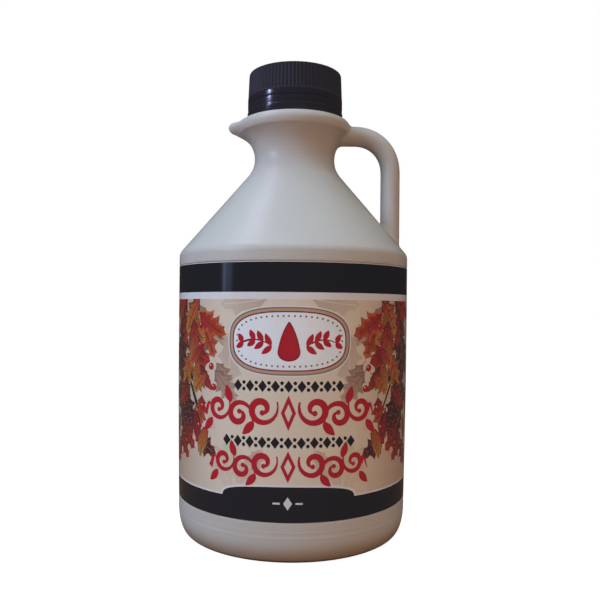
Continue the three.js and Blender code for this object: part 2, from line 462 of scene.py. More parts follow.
def turned(outline, columns, relief=None):
    """A closed turned body. relief(radius, height, angle) gives the radius with its ribs."""
    angles = np.arange(columns) * 2 * math.pi / columns
    points = ring_points(outline, angles)
    if relief is not None:
        radius = np.hypot(points[:, 0], points[:, 1])
        angle = np.arctan2(points[:, 1], points[:, 0])
        points[:, :2] *= (relief(radius, points[:, 2], angle) / radius)[:, None]
    faces = grid_faces(len(outline), columns)
    last = len(points) - columns
    faces.append(tuple(range(columns))[::-1])
    faces.append(tuple(range(last, last + columns)))
    return points, faces


def make_piece(name, points, faces, material, node, normals=None):
    """normals are the surface's directions at the points, where they are known exactly."""
    mesh = bpy.data.meshes.new(name)
    mesh.from_pydata((np.asarray(points) * MM).tolist(), [], faces)
    mesh.validate()
    mesh.shade_smooth()
    if normals is not None:
        mesh.normals_split_custom_set_from_vertices(normals.tolist())
    mesh.materials.append(material)
    piece = bpy.data.objects.new(name, mesh)
    bpy.context.scene.collection.objects.link(piece)
    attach(piece, "root")
    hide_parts(node)
    return piece


# Camera, floor and light


def make_camera():
    """A camera in front of the jug, turned by its yaw, its pitch and its roll."""
    cp, sp = math.cos(CAMERA_PITCH), math.sin(CAMERA_PITCH)
    cy, sy = math.cos(CAMERA_YAW), math.sin(CAMERA_YAW)
    cr, sr = math.cos(CAMERA_ROLL), math.sin(CAMERA_ROLL)
    forward = Vector((sy * cp, cy * cp, -sp))
    level_right = Vector((cy, -sy, 0))
    level_down = forward.cross(level_right)
    right = cr * level_right + sr * level_down
    down = cr * level_down - sr * level_right
    camera = bpy.data.objects.new("camera", bpy.data.cameras.new("camera"))
    camera.data.sensor_width = SENSOR_WIDTH
    camera.data.lens = SENSOR_WIDTH * FOCAL_PIXELS / IMAGE_PIXELS
    camera.data.clip_start = NEAREST_SEEN * MM
    turn = Matrix((right, -down, -forward)).transposed().to_4x4()
    place = Matrix.Translation(Vector((0, -CAMERA_DISTANCE, CAMERA_HEIGHT)) * MM)
    camera.matrix_world = place @ turn
    bpy.context.scene.collection.objects.link(camera)
    bpy.context.scene.camera = camera


def new_material(name):
    material = bpy.data.materials.new(name)
    material.use_nodes = True
    tree = material.node_tree
    return material, tree, tree.nodes["Principled BSDF"]


def set_inputs(tree, node, inputs):
    """Sets inputs by name, or by number after a low line. A socket as a value makes a link."""
    for name, value in inputs.items():
        socket = node.inputs[int(name[1:])] if name[0] == "_" else node.inputs[name.replace("_", " ")]
        if isinstance(value, bpy.types.NodeSocket):
            tree.links.new(value, socket)
        else:
            socket.default_value = value


def add_node(tree, kind, operation=None, **inputs):
    node = tree.nodes.new(kind)
    if operation is not None:
        node.operation = operation
    set_inputs(tree, node, inputs)
    return node


def make_floor():
    """The camera sees it pale, with the soft shadow of the jug. The jug gets a wooden board's light
    from it."""
    mesh = bpy.data.meshes.new("floor")
    reach = FLOOR_REACH * MM
    corners = [(-reach, -reach, 0), (reach, -reach, 0), (reach, reach, 0), (-reach, reach, 0)]
    mesh.from_pydata(corners, [], [(0, 1, 2, 3)])
    floor = bpy.data.objects.new("floor", mesh)
    bpy.context.scene.collection.objects.link(floor)
    material, tree, surface = new_material("pale floor")
    surface.inputs["Base Color"].default_value = (*FLOOR_GREY, 1)
    surface.inputs["Roughness"].default_value = 0.9
    surface.inputs["Specular IOR Level"].default_value = 0
    surface.inputs["Emission Color"].default_value = (1, 1, 1, 1)
    surface.inputs["Emission Strength"].default_value = FLOOR_GLOW
    board = add_node(tree, "ShaderNodeBsdfDiffuse", Color=(*BOARD, 1))
    path = add_node(tree, "ShaderNodeLightPath")
    both = add_node(tree, "ShaderNodeMixShader", _0=path.outputs["Is Camera Ray"],
                    _1=board.outputs[0], _2=surface.outputs[0])
    tree.links.new(both.outputs[0], tree.nodes["Material Output"].inputs["Surface"])
    mesh.materials.append(material)


def make_world():
    """White behind the jug. For light: dim and warm all round, cool from above. Glossy skins mirror
    that light only faintly."""
    world = bpy.data.worlds.new("studio")
    bpy.context.scene.world = world
    world.use_nodes = True
    tree = world.node_tree
    tree.nodes.clear()
    direction = add_node(tree, "ShaderNodeTexCoord").outputs["Generated"]
    height = add_node(tree, "ShaderNodeSeparateXYZ", Vector=direction).outputs["Z"]
    path = add_node(tree, "ShaderNodeLightPath").outputs
    strength = add_node(tree, "ShaderNodeMapRange", Value=path["Is Glossy Ray"], To_Min=1.0,
                        To_Max=SKY_MIRRORED)
    share = add_node(tree, "ShaderNodeMapRange", Value=height, From_Min=0.3, From_Max=1.0,
                     To_Max=strength.outputs["Result"])
    share.interpolation_type = "SMOOTHSTEP"
    around = add_node(tree, "ShaderNodeBackground", Color=(*SKY_AROUND, 1),
                      Strength=strength.outputs["Result"])
    above = add_node(tree, "ShaderNodeBackground", Color=(*SKY_ABOVE, 1),
                     Strength=share.outputs["Result"])
    lit = add_node(tree, "ShaderNodeAddShader", _0=around.outputs[0], _1=above.outputs[0])
    seen = add_node(tree, "ShaderNodeBackground", Color=(1, 1, 1, 1), Strength=1.0)
    both = add_node(tree, "ShaderNodeMixShader", _0=path["Is Camera Ray"], _1=lit.outputs[0],
                    _2=seen.outputs[0])
    add_node(tree, "ShaderNodeOutputWorld", Surface=both.outputs[0])


def area_light(name, azimuth, height, distance, width, tall, power, colour, aim_height=110,
               glossy=False):
    """A soft box at an azimuth from the camera's side, in degrees to the right, aimed at the axis."""
    light = bpy.data.lights.new(name, "AREA")
    light.shape = "RECTANGLE"
    light.size = width * MM
    light.size_y = tall * MM
    light.energy = power
    light.color = colour
    lamp = bpy.data.objects.new(name, light)
    bpy.context.scene.collection.objects.link(lamp)
    angle = math.radians(azimuth)
    place = Vector((math.sin(angle) * distance, -math.cos(angle) * distance, height))
    aim = Vector((0, 0, aim_height)) - place
    lamp.matrix_world = Matrix.Translation(place * MM) @ aim.to_track_quat("-Z", "Y").to_matrix().to_4x4()
    lamp.visible_glossy = glossy
    return lamp


def make_lights():
    """Soft boxes round the jug, and a window's panes that only glossy skins show."""
    area_light("window", azimuth=-58, height=560, distance=800, width=420, tall=420,
               power=5.4, colour=(0.50, 0.72, 1.0))
    area_light("low window", azimuth=-85, height=20, distance=700, width=300, tall=200,
               power=0.6, colour=(1.0, 0.80, 0.72))
    area_light("skylight", azimuth=-96, height=945, distance=400, width=200, tall=200,
               power=1.0, colour=(0.66, 0.58, 0.86), aim_height=140, glossy=True)
    area_light("front", azimuth=12, height=60, distance=1000, width=500, tall=400,
               power=3.45, colour=(1.0, 0.76, 0.52))
    area_light("warm side", azimuth=60, height=30, distance=700, width=400, tall=200,
               power=0.5, colour=(1.0, 0.36, 0.14))
    for name, height, tall, azimuth, width, radiance in (
        ("pane", 245, 260, -64, 90, 1.1),
        ("sash left", 245, 260, -67.8, 30, 4.2),
        ("sash right", 245, 260, -60.2, 30, 1.2),
        ("upper pane", 411, 72, -64, 90, 10.0),
        ("top pane", 497, 66, -64, 80, 85.0),
    ):
        lamp = area_light(name, azimuth=azimuth, height=height, distance=900, width=width, tall=tall,
                          power=radiance * math.pi * width * tall * MM * MM,
                          colour=(0.50, 0.60, 1.0), aim_height=height, glossy=True)
        lamp.visible_diffuse = False


# Finishes


def group_tree(name, inputs, outputs):
    """A shader node group with the given (socket kind, name, default) inputs and (kind, name) outputs."""
    tree = bpy.data.node_groups.new(name, "ShaderNodeTree")
    for kind, socket_name, default in inputs:
        socket = tree.interface.new_socket(socket_name, in_out="INPUT", socket_type=kind)
        socket.default_value = default
    for kind, socket_name in outputs:
        tree.interface.new_socket(socket_name, in_out="OUTPUT", socket_type=kind)
    return tree, tree.nodes.new("NodeGroupInput").outputs, tree.nodes.new("NodeGroupOutput").inputs


def make_mottle_group():
    """A colour that drifts a little lighter and darker in soft clouds."""
    tree, given, result = group_tree(
        "soft mottle",
        [("NodeSocketColor", "Color", (0.5, 0.5, 0.5, 1)), ("NodeSocketFloat", "Scale", 60.0),
         ("NodeSocketFloat", "Amount", 0.05)],
        [("NodeSocketColor", "Color")])
    place = add_node(tree, "ShaderNodeTexCoord").outputs["Object"]
    clouds = add_node(tree, "ShaderNodeTexNoise", Vector=place, Scale=given["Scale"], Detail=4.0,
                      Roughness=0.55)
    swing = add_node(tree, "ShaderNodeMath", _0=clouds.outputs[0], _1=-0.5)
    scaled = add_node(tree, "ShaderNodeMath", "MULTIPLY", _0=swing.outputs[0], _1=given["Amount"])
    level = add_node(tree, "ShaderNodeMath", _0=scaled.outputs[0], _1=1.0)
    shade = add_node(tree, "ShaderNodeVectorMath", "MULTIPLY", _0=given["Color"], _1=level.outputs[0])
    tree.links.new(shade.outputs[0], result["Color"])
    return tree


def make_grain_group():
    """Height of a moulded or printed skin: long soft waves and a fine grain."""
    tree, given, result = group_tree(
        "skin relief",
        [("NodeSocketFloat", "Wave Scale", 60.0), ("NodeSocketFloat", "Wave Height", 0.00004),
         ("NodeSocketFloat", "Grain Scale", 2500.0), ("NodeSocketFloat", "Grain Height", 0.000002)],
        [("NodeSocketFloat", "Height")])
    place = add_node(tree, "ShaderNodeTexCoord").outputs["Object"]
    heights = []
    for kind in ("Wave", "Grain"):
        noise = add_node(tree, "ShaderNodeTexNoise", Vector=place, Scale=given[kind + " Scale"],
                         Detail=2.0)
        height = add_node(tree, "ShaderNodeMath", "MULTIPLY", _0=noise.outputs[0],
                          _1=given[kind + " Height"])
        heights.append(height.outputs[0])
    total = add_node(tree, "ShaderNodeMath", _0=heights[0], _1=heights[1])
    tree.links.new(total.outputs[0], result["Height"])
    return tree


def make_handling_group():
    """Roughness that handling has made a little uneven."""
    tree, given, result = group_tree(
        "handling marks",
        [("NodeSocketFloat", "Roughness", 0.4), ("NodeSocketFloat", "Amount", 0.1),
         ("NodeSocketFloat", "Scale", 90.0)],
        [("NodeSocketFloat", "Roughness")])
    place = add_node(tree, "ShaderNodeTexCoord").outputs["Object"]
    noise = add_node(tree, "ShaderNodeTexNoise", Vector=place, Scale=given["Scale"], Detail=5.0,
                     Roughness=0.65)
    swing = add_node(tree, "ShaderNodeMath", _0=noise.outputs[0], _1=-0.5)
    scaled = add_node(tree, "ShaderNodeMath", "MULTIPLY", _0=swing.outputs[0], _1=given["Amount"])
    total = add_node(tree, "ShaderNodeMath", _0=scaled.outputs[0], _1=given["Roughness"])
    tree.links.new(total.outputs[0], result["Roughness"])
    return tree


def use_group(tree, group, **inputs):
    node = tree.nodes.new("ShaderNodeGroup")
    node.node_tree = group
    set_inputs(tree, node, inputs)
    return node.outputs[0]


def finish_surface(tree, surface, colour, roughness, height):
    tree.links.new(colour, surface.inputs["Base Color"])
    tree.links.new(roughness, surface.inputs["Roughness"])
    relief = add_node(tree, "ShaderNodeBump", Height=height, Strength=1.0, Distance=1.0)
    tree.links.new(relief.outputs[0], surface.inputs["Normal"])


def add_painted_sheen(surface):
    """A dim cool glow that the surface gives off, a painted sheen of the room's light over anything
    black.
    """
    surface.inputs["Emission Color"].default_value = (*PAINTED_SHEEN, 1)
    surface.inputs["Emission Strength"].default_value = PAINTED_SHEEN_STRENGTH


def milky_plastic():
    """Milky resin with a fine parting line, with painted shade that makes it browner and darker at its
    foot, and a painted brown reflection that darkens its rims.
    """
    material, tree, surface = new_material("milky plastic")
    place = add_node(tree, "ShaderNodeTexCoord").outputs["Object"]
    axes = add_node(tree, "ShaderNodeSeparateXYZ", Vector=place).outputs
    off_seam = add_node(tree, "ShaderNodeMath", "ABSOLUTE", _0=axes["Y"])
    seam = add_node(tree, "ShaderNodeMapRange", Value=off_seam.outputs[0],
                    From_Min=SEAM_HALF_WIDTHS[0] * MM, From_Max=SEAM_HALF_WIDTHS[1] * MM,
                    To_Min=SEAM_HEIGHT * MM, To_Max=0.0)
    skin = use_group(tree, RELIEF, Wave_Scale=45.0, Wave_Height=0.00009, Grain_Scale=1800.0,
                     Grain_Height=0.0000035)
    height = add_node(tree, "ShaderNodeMath", _0=seam.outputs[0], _1=skin)
    # Painted shade: darker down the heel, to a painted contact shadow at the foot
    depth = add_node(tree, "ShaderNodeMapRange", Value=axes["Z"], From_Min=0.0,
                     From_Max=FOOT_SHADE_HEIGHT * MM)
    tint = add_node(tree, "ShaderNodeValToRGB", Fac=depth.outputs["Result"])
    tint.color_ramp.interpolation = "EASE"
    tint.color_ramp.elements[0].color = (*MILKY_FOOT_SHADE, 1)
    tint.color_ramp.elements[1].color = (*MILKY, 1)
    tint.color_ramp.elements.new(0.2).color = (*MILKY_HEEL_SHADE, 1)
    # Painted brown reflection that darkens the rims as they turn away
    facing = add_node(tree, "ShaderNodeLayerWeight", Blend=0.5)
    rim = add_node(tree, "ShaderNodeMapRange", Value=facing.outputs["Facing"], From_Min=RIM_REFLECTION_START,
                   From_Max=1.0, To_Max=RIM_REFLECTION_SHARE)
    rim_reflected = add_node(tree, "ShaderNodeMix", _0=rim.outputs["Result"], _6=tint.outputs["Color"],
                      _7=(*MILKY_RIM_REFLECTION, 1))
    rim_reflected.data_type = "RGBA"
    colour = use_group(tree, MOTTLE, Color=rim_reflected.outputs[2], Scale=38.0, Amount=0.06)
    roughness = use_group(tree, HANDLING, Roughness=0.34, Amount=0.1, Scale=70.0)
    surface.inputs["IOR"].default_value = 1.5
    surface.inputs["Subsurface Weight"].default_value = 0.35
    surface.inputs["Subsurface Radius"].default_value = (1.0, 0.75, 0.55)
    surface.inputs["Subsurface Scale"].default_value = 0.004
    finish_surface(tree, surface, colour, roughness, height.outputs[0])
    return material


def printed_film():
    """Glossy film in the colours that the label's mesh carries."""
    material, tree, surface = new_material("printed film")
    ink = add_node(tree, "ShaderNodeAttribute")
    ink.attribute_name = PRINT_LAYER
    colour = use_group(tree, MOTTLE, Color=ink.outputs["Color"], Scale=260.0, Amount=0.10)
    roughness = use_group(tree, HANDLING, Roughness=0.13, Amount=0.05, Scale=120.0)
    height = use_group(tree, RELIEF, Wave_Scale=40.0, Wave_Height=0.00004, Grain_Scale=900.0,
                       Grain_Height=0.0000015)
    surface.inputs["IOR"].default_value = 1.48
    # Painted sheen: a faint cool glow from the film itself
    add_painted_sheen(surface)
    finish_surface(tree, surface, colour, roughness, height)
    return material


def black_plastic():
    """Smooth on the ring and the bead, duller on the ribs."""
    material, tree, surface = new_material("black plastic")
    colour = use_group(tree, MOTTLE, Color=(*BLACK_RESIN, 1), Scale=200.0, Amount=0.2)
    place = add_node(tree, "ShaderNodeTexCoord").outputs["Object"]
    up = add_node(tree, "ShaderNodeSeparateXYZ", Vector=place).outputs["Z"]
    gloss = add_node(tree, "ShaderNodeMapRange", Value=up, From_Min=CAP_BEAD_TOP_Z * MM,
                     From_Max=(CAP_BEAD_TOP_Z + ROUGHNESS_STEP_HEIGHT) * MM,
                     To_Min=BEAD_ROUGHNESS, To_Max=RIB_ROUGHNESS)
    roughness = use_group(tree, HANDLING, Roughness=gloss.outputs["Result"], Amount=0.06,
                          Scale=300.0)
    height = use_group(tree, RELIEF, Wave_Scale=120.0, Wave_Height=0.000003, Grain_Scale=3000.0,
                       Grain_Height=0.000001)
    surface.inputs["IOR"].default_value = 1.5
    # Painted sheen: a faint cool glow from the plastic itself
    add_painted_sheen(surface)
    finish_surface(tree, surface, colour, roughness, height)
    return material


# Bottle


def bottle_corners():
    """Corners of the moulding's upper outline, from the spigot's top down to inside the wall."""
    return [
        (0, SPIGOT_TOP_Z, 0),
        (SPIGOT_RADIUS, SPIGOT_TOP_Z, SPIGOT_TOP_ROUND),
        (SPIGOT_RADIUS, SPIGOT_BOTTOM_Z, SPIGOT_FOOT_ROUND),
        (*COLLAR_TOP, COLLAR_TOP_ROUND),
        (*COLLAR_NOSE, COLLAR_NOSE_ROUND),
        (*COLLAR_UNDER, COLLAR_UNDER_ROUND),
        (NECK_CORNER_RADIUS, NECK_CORNER_Z, NECK_ROUND),
        (BODY_RADIUS, SHOULDER_Z, SHOULDER_ROUND),
        (BODY_RADIUS, TAPER_TOP_Z, 0),
        (0, TAPER_TOP_Z, 0),
    ]


def outline_field(outline):
    """Signed distance to a closed outline in the (radius, height) plane, from a fine table."""
    radii = np.arange(0, FAR, FIELD_STEP)
    heights = np.arange(TAPER_TOP_Z, SPIGOT_TOP_Z + FIELD_HEADROOM, FIELD_STEP)
    r, z = np.meshgrid(radii, heights, indexing="ij")
    nearest = np.full(r.shape, np.inf)
    inside = np.zeros(r.shape, bool)
    for (r0, z0), (r1, z1) in zip(outline[:-1], outline[1:]):
        dr, dz = r1 - r0, z1 - z0
        on_axis = r0 == 0 and r1 == 0
        t = np.clip(((r - r0) * dr + (z - z0) * dz) / (dr * dr + dz * dz + 1e-12), 0, 1)
        if not on_axis:
            nearest = np.minimum(nearest, np.hypot(r - r0 - t * dr, z - z0 - t * dz))
        if z0 != z1:
            crosses = (z0 > z) != (z1 > z)
            inside ^= crosses & (r < r0 + (z - z0) * dr / dz)
    table = np.where(inside, -nearest, nearest)

    def value(radius, height):
        i = np.clip(radius / FIELD_STEP, 0, len(radii) - 1.001)
        k = np.clip((height - heights[0]) / FIELD_STEP, 0, len(heights) - 1.001)
        i0, k0 = i.astype(int), k.astype(int)
        u, v = i - i0, k - k0
        low = table[i0, k0] * (1 - u) + table[i0 + 1, k0] * u
        high = table[i0, k0 + 1] * (1 - u) + table[i0 + 1, k0 + 1] * u
        return low * (1 - v) + high * v

    return value


def smooth_min(a, b, reach):
    """The lower of two fields, rounded where they differ by less than reach."""
    overlap = np.maximum(reach - np.abs(a - b), 0) / reach
    return np.minimum(a, b) - overlap * overlap * reach / 4


def smooth_max(a, b, reach):
    return -smooth_min(-a, -b, reach)


def hull_of_circles(across, along, root_radius, tip_radius, length):
    """Signed distance to the hull of a circle at 0 and a smaller one at length along."""
    across = np.abs(across)
    slope = (root_radius - tip_radius) / length
    rise = math.sqrt(1 - slope * slope)
    lean = rise * along - slope * across
    side = rise * across + slope * along - root_radius
    root = np.hypot(across, along) - root_radius
    tip = np.hypot(across, along - length) - tip_radius
    return np.where(lean < 0, root, np.where(lean > rise * length, tip, side))


def beak_field(x, y, z):
    """Nearly the signed distance to the beak: its plan cut off by its top and its underside."""
    plan = hull_of_circles(y, -x, BEAK_ROOT_RADIUS, BEAK_TIP_RADIUS, -BEAK_TIP_X)
    top = COLLAR_TOP[1] + BEAK_LIFT * smoothstep(BEAK_LIFT_START, BEAK_LIFT_END, -x)
    under = BEAK_UNDER_Z + BEAK_UNDER_SLOPE * plan
    edge = smooth_max(plan, z - top, BEAK_TOP_ROUND)
    return smooth_max(edge, (under - z) / math.hypot(1, BEAK_UNDER_SLOPE), BEAK_UNDER_ROUND)


def handle_route():
    """The handle's middle line as (x, height): the arm, a squarish bend and the grip."""
    along = np.linspace(0, 1, HANDLE_BEND_STEPS + 1)
    power = 2 / HANDLE_BEND_SQUARENESS
    across = (HANDLE_GRIP_X - HANDLE_BEND_START_X) * np.sin(along * math.pi / 2) ** power
    up = (HANDLE_ARM_Z - HANDLE_BEND_END_Z) * np.sin((1 - along) * math.pi / 2) ** power
    bend = np.stack([HANDLE_BEND_START_X + across, HANDLE_BEND_END_Z + up], -1)
    start = [(HANDLE_START_X, HANDLE_ARM_Z)]
    end = [(HANDLE_GRIP_X, HANDLE_END_Z)]
    return np.concatenate([start, bend, end])


def handle_field(x, y, z):
    """Nearly the signed distance to an oval bar along the route, FAR away from it."""
    route = handle_route()
    near = (x > HANDLE_FIELD_START_X) & (np.abs(y) < HANDLE_FIELD_HALF_WIDTH)
    value = np.full(x.shape, FAR)
    px, py, pz = x[near], y[near], z[near]
    nearest = np.full(px.shape, FAR)
    for (x0, z0), (x1, z1) in zip(route[:-1], route[1:]):
        dx, dz = x1 - x0, z1 - z0
        t = np.clip(((px - x0) * dx + (pz - z0) * dz) / (dx * dx + dz * dz), 0, 1)
        nearest = np.minimum(nearest, np.hypot(px - x0 - t * dx, pz - z0 - t * dz))
    a, b = HANDLE_HALF_THICKNESS, HANDLE_HALF_DEPTH
    scaled = np.hypot(nearest / a, py / b)
    slope = np.hypot(nearest / a**2, py / b**2) + 1e-6
    value[near] = scaled * (scaled - 1) / slope
    return value


def make_bottle_field():
    """A function of points that is under 0 inside the moulding's upper part and over 0 outside."""
    body_value = outline_field(rounded(bottle_corners()))

    def field(points):
        x, y, z = points.T
        radius = np.hypot(x, y)
        body = body_value(radius, z)
        blend = FOOT_BLEND * smoothstep(CUT_Z, CUT_Z + FOOT_BLEND_REACH, z) + LEAST_BLEND
        blend += (ARM_BLEND - FOOT_BLEND) * smoothstep(ARM_BLEND_START_Z, ARM_BLEND_END_Z, z)
        whole = smooth_min(body, handle_field(x, y, z), blend)
        return smooth_min(whole, beak_field(x, y, z), BEAK_BLEND)

    return field


def field_slope(field, points, step=SLOPE_STEP):
    slope = np.empty_like(points)
    for axis in range(3):
        offset = np.zeros(3)
        offset[axis] = step
        slope[:, axis] = (field(points + offset) - field(points - offset)) / (2 * step)
    return slope


def settle(field, points, rounds):
    """Moves points onto the field's surface. Also returns the surface's directions there."""
    for _ in range(rounds):
        slope = field_slope(field, points)
        size = np.maximum((slope * slope).sum(1), LEAST_SLOPE ** 2)
        move = slope * (field(points) / size)[:, None]
        length = np.linalg.norm(move, axis=1, keepdims=True)
        points = points - move * np.minimum(1, VOXEL / np.maximum(length, 1e-9))
    return points, slope / np.sqrt(size)[:, None]


def voxel_quads():
    """Points and quads of the bottle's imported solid, remeshed in even cells, above the cut."""
    source = bpy.data.objects.new("remeshed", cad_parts["bottle"].data.copy())
    bpy.context.scene.collection.objects.link(source)
    remesh = source.modifiers.new("cells", "REMESH")
    remesh.mode = "VOXEL"
    remesh.voxel_size = VOXEL * MM
    graph = bpy.context.evaluated_depsgraph_get()
    mesh = bpy.data.meshes.new_from_object(source.evaluated_get(graph))
    bpy.data.objects.remove(source)
    points = np.empty(len(mesh.vertices) * 3)
    mesh.vertices.foreach_get("co", points)
    points = points.reshape(-1, 3) / MM
    corners = np.empty(len(mesh.loops), int)
    mesh.loops.foreach_get("vertex_index", corners)
    quads = corners.reshape(-1, 4)
    bpy.data.meshes.remove(mesh)
    quads = quads[(points[quads, 2] > CUT_Z + VOXEL / 2).all(1)]
    used, quads = np.unique(quads, return_inverse=True)
    return points[used], quads.reshape(-1, 4)


def quad_edges(quads):
    """Edges of the quads, and those among them that belong to one quad only, in quad order."""
    directed = np.stack([quads, np.roll(quads, -1, 1)], -1).reshape(-1, 2)
    key = np.sort(directed, 1)
    _, first, count = np.unique(key, axis=0, return_index=True, return_counts=True)
    return key[first], directed[first[count == 1]]


def rim_order(rim_edges):
    """Numbers of the rim's points in order round the jug."""
    following = {int(a): int(b) for a, b in rim_edges}
    start = int(rim_edges[0, 0])
    order = [start]
    while following[order[-1]] != start:
        order.append(following[order[-1]])
    return np.array(order)


def evened_angles(points):
    """Angles of the rim's points round the jug, brought nearer to even steps."""
    angles = np.unwrap(np.arctan2(points[:, 1], points[:, 0]))
    lap = np.sign(angles[-1] - angles[0]) * 2 * math.pi
    for _ in range(RIM_ROUNDS):
        before = np.roll(angles, 1)
        after = np.roll(angles, -1)
        before[0] -= lap
        after[-1] += lap
        angles = angles / 2 + (before + after) / 4
    return angles


def neighbour_means(points, edges):
    """The mean place of each point's neighbours."""
    count = np.bincount(edges.ravel(), minlength=len(points))
    means = np.empty_like(points)
    for axis in range(3):
        total = np.bincount(edges[:, 0], points[edges[:, 1], axis], len(points))
        total += np.bincount(edges[:, 1], points[edges[:, 0], axis], len(points))
        means[:, axis] = total / count
    return means


def relaxed_top():
    """The upper part of the moulding as even quads on its smooth surface, with its lower rim."""
    field = make_bottle_field()
    points, quads = voxel_quads()
    edges, rim_edges = quad_edges(quads)
    rim = rim_order(rim_edges)
    angles = evened_angles(points[rim])
    rim_points = ring_points(np.array([(CUT_RADIUS, CUT_Z)]), angles)
    points[rim] = rim_points
    points, normals = settle(field, points, FIRST_SETTLE_ROUNDS)
    for _ in range(RELAX_ROUNDS):
        move = neighbour_means(points, edges) - points
        move -= normals * (move * normals).sum(1, keepdims=True)
        points = points + RELAX_SHARE * move
        points[rim] = rim_points
        points, normals = settle(field, points, 1)
        points[rim] = rim_points
    points, normals = settle(field, points, LAST_SETTLE_ROUNDS)
    points[rim] = rim_points
    normals = field_slope(field, points, NORMAL_STEP)
    normals[rim] = np.stack([np.cos(angles), np.sin(angles), np.full(len(rim), CONE_SLOPE)], -1)
    return points, normals / np.linalg.norm(normals, axis=1, keepdims=True), quads, rim, angles


def wall_rows():
    """Outlines from the cut down to the label's lower edge: shoulder, wall and label panel."""
    panel_top = LABEL_TOP_Z + PANEL_MARGIN
    panel_bottom = LABEL_BOTTOM_Z - PANEL_MARGIN
    shoulder = rounded([
        (CUT_RADIUS, CUT_Z, 0),
        (BODY_RADIUS, SHOULDER_Z, SHOULDER_ROUND),
        (BODY_RADIUS, panel_top + PANEL_EDGE_LEAD + 0.1, 0),
    ])
    upper = rounded([
        (BODY_RADIUS, panel_top + PANEL_EDGE_LEAD, 0),
        (BODY_RADIUS, panel_top + PANEL_EDGE_RISE, PANEL_EDGE_ROUND),
        (BODY_RADIUS - PANEL_INSET, panel_top, PANEL_FOOT_ROUND),
        (BODY_RADIUS - PANEL_INSET, TAPER_TOP_Z, 0),
    ], EDGE_STEP)
    panel_heights = np.linspace(TAPER_TOP_Z - PANEL_HIGHEST_ROW_LEAD,
                                panel_bottom + PANEL_LOWEST_ROW_LEAD, PANEL_ROWS)
    panel = np.stack([wall_radius(panel_heights) - PANEL_INSET, panel_heights], -1)
    panel_foot = panel_bottom + PANEL_FOOT_LEAD
    edge_bottom = panel_bottom - PANEL_EDGE_RISE
    lead_bottom = panel_bottom - PANEL_EDGE_LEAD
    lower = rounded([
        (wall_radius(panel_foot) - PANEL_INSET, panel_foot, 0),
        (wall_radius(panel_bottom) - PANEL_INSET, panel_bottom, PANEL_FOOT_ROUND),
        (wall_radius(edge_bottom), edge_bottom, PANEL_EDGE_ROUND),
        (wall_radius(lead_bottom), lead_bottom, 0),
    ], EDGE_STEP)
    return [shoulder, upper, panel, lower]


def base_rows():
    """Outlines below the label: the stretch with the mould lines, heel, standing ring and hollow."""
    foot_radius = wall_radius(HEEL_HEIGHT) - HEEL_DEPTH
    lined_heights = np.arange(MOULD_LINES_TOP_Z, MOULD_LINES_BOTTOM_Z, -MOULD_ROW_STEP)
    below = np.maximum(0, HEEL_HEIGHT - lined_heights) / HEEL_HEIGHT
    lined_radii = np.where(below > 0, foot_radius + HEEL_DEPTH * np.sqrt(1 - below * below),
                           wall_radius(lined_heights))
    for line in MOULD_LINES_Z:
        off = (lined_heights - line) / MOULD_LINE_WIDTH
        lined_radii += MOULD_LINE_HEIGHT * np.exp(-off * off)
    lined = np.stack([lined_radii, lined_heights], -1)
    turn = np.linspace(math.asin(1 - MOULD_LINES_BOTTOM_Z / HEEL_HEIGHT), math.pi / 2, HEEL_STEPS)
    heel = np.stack([foot_radius + HEEL_DEPTH * np.cos(turn),
                     HEEL_HEIGHT - HEEL_HEIGHT * np.sin(turn)], -1)
    underside = rounded([
        (foot_radius - 0.5, 0, 0),
        (foot_radius - FOOT_WIDTH, 0, FOOT_ROUND),
        (foot_radius - FOOT_WIDTH - HOLLOW_SLOPE_WIDTH, HOLLOW_DEPTH, HOLLOW_ROUND),
        (HOLLOW_FLAT_RADIUS, HOLLOW_DEPTH, 0),
        (HOLLOW_CENTRE_RADIUS, HOLLOW_DEPTH, 0),
    ])
    return [lined, heel, underside]


def row_directions(rows):
    """The outline's direction at each row after the first. The last row lies flat."""
    ahead = np.diff(rows, axis=0)
    ahead /= np.linalg.norm(ahead, axis=1, keepdims=True)
    ahead = np.concatenate([ahead[:-1] + ahead[1:], [(-1.0, 0.0)]])
    return ahead / np.linalg.norm(ahead, axis=1, keepdims=True)


def make_bottle(material):
    """The relaxed top, and below its rim the turned rows, which share the rim's angles."""
    points, normals, quads, rim, angles = relaxed_top()
    rows = np.concatenate(wall_rows() + base_rows())
    ahead = row_directions(rows)
    rows = rows[1:]
    columns = len(rim)
    below = ring_points(rows, angles)
    below_normals = ring_points(np.stack([-ahead[:, 1], ahead[:, 0]], -1), angles)
    first = len(points)
    faces = [tuple(quad) for quad in quads.tolist()]
    faces += strip_faces(range(first, first + columns), rim.tolist())
    faces += [face[::-1] for face in grid_faces(len(rows), columns, first)]
    last = first + (len(rows) - 1) * columns
    faces.append(tuple(range(last, last + columns))[::-1])
    return make_piece("bottle_moulding", np.concatenate([points, below]), faces, material,
                      "bottle", np.concatenate([normals, below_normals]))


# Ring and cap


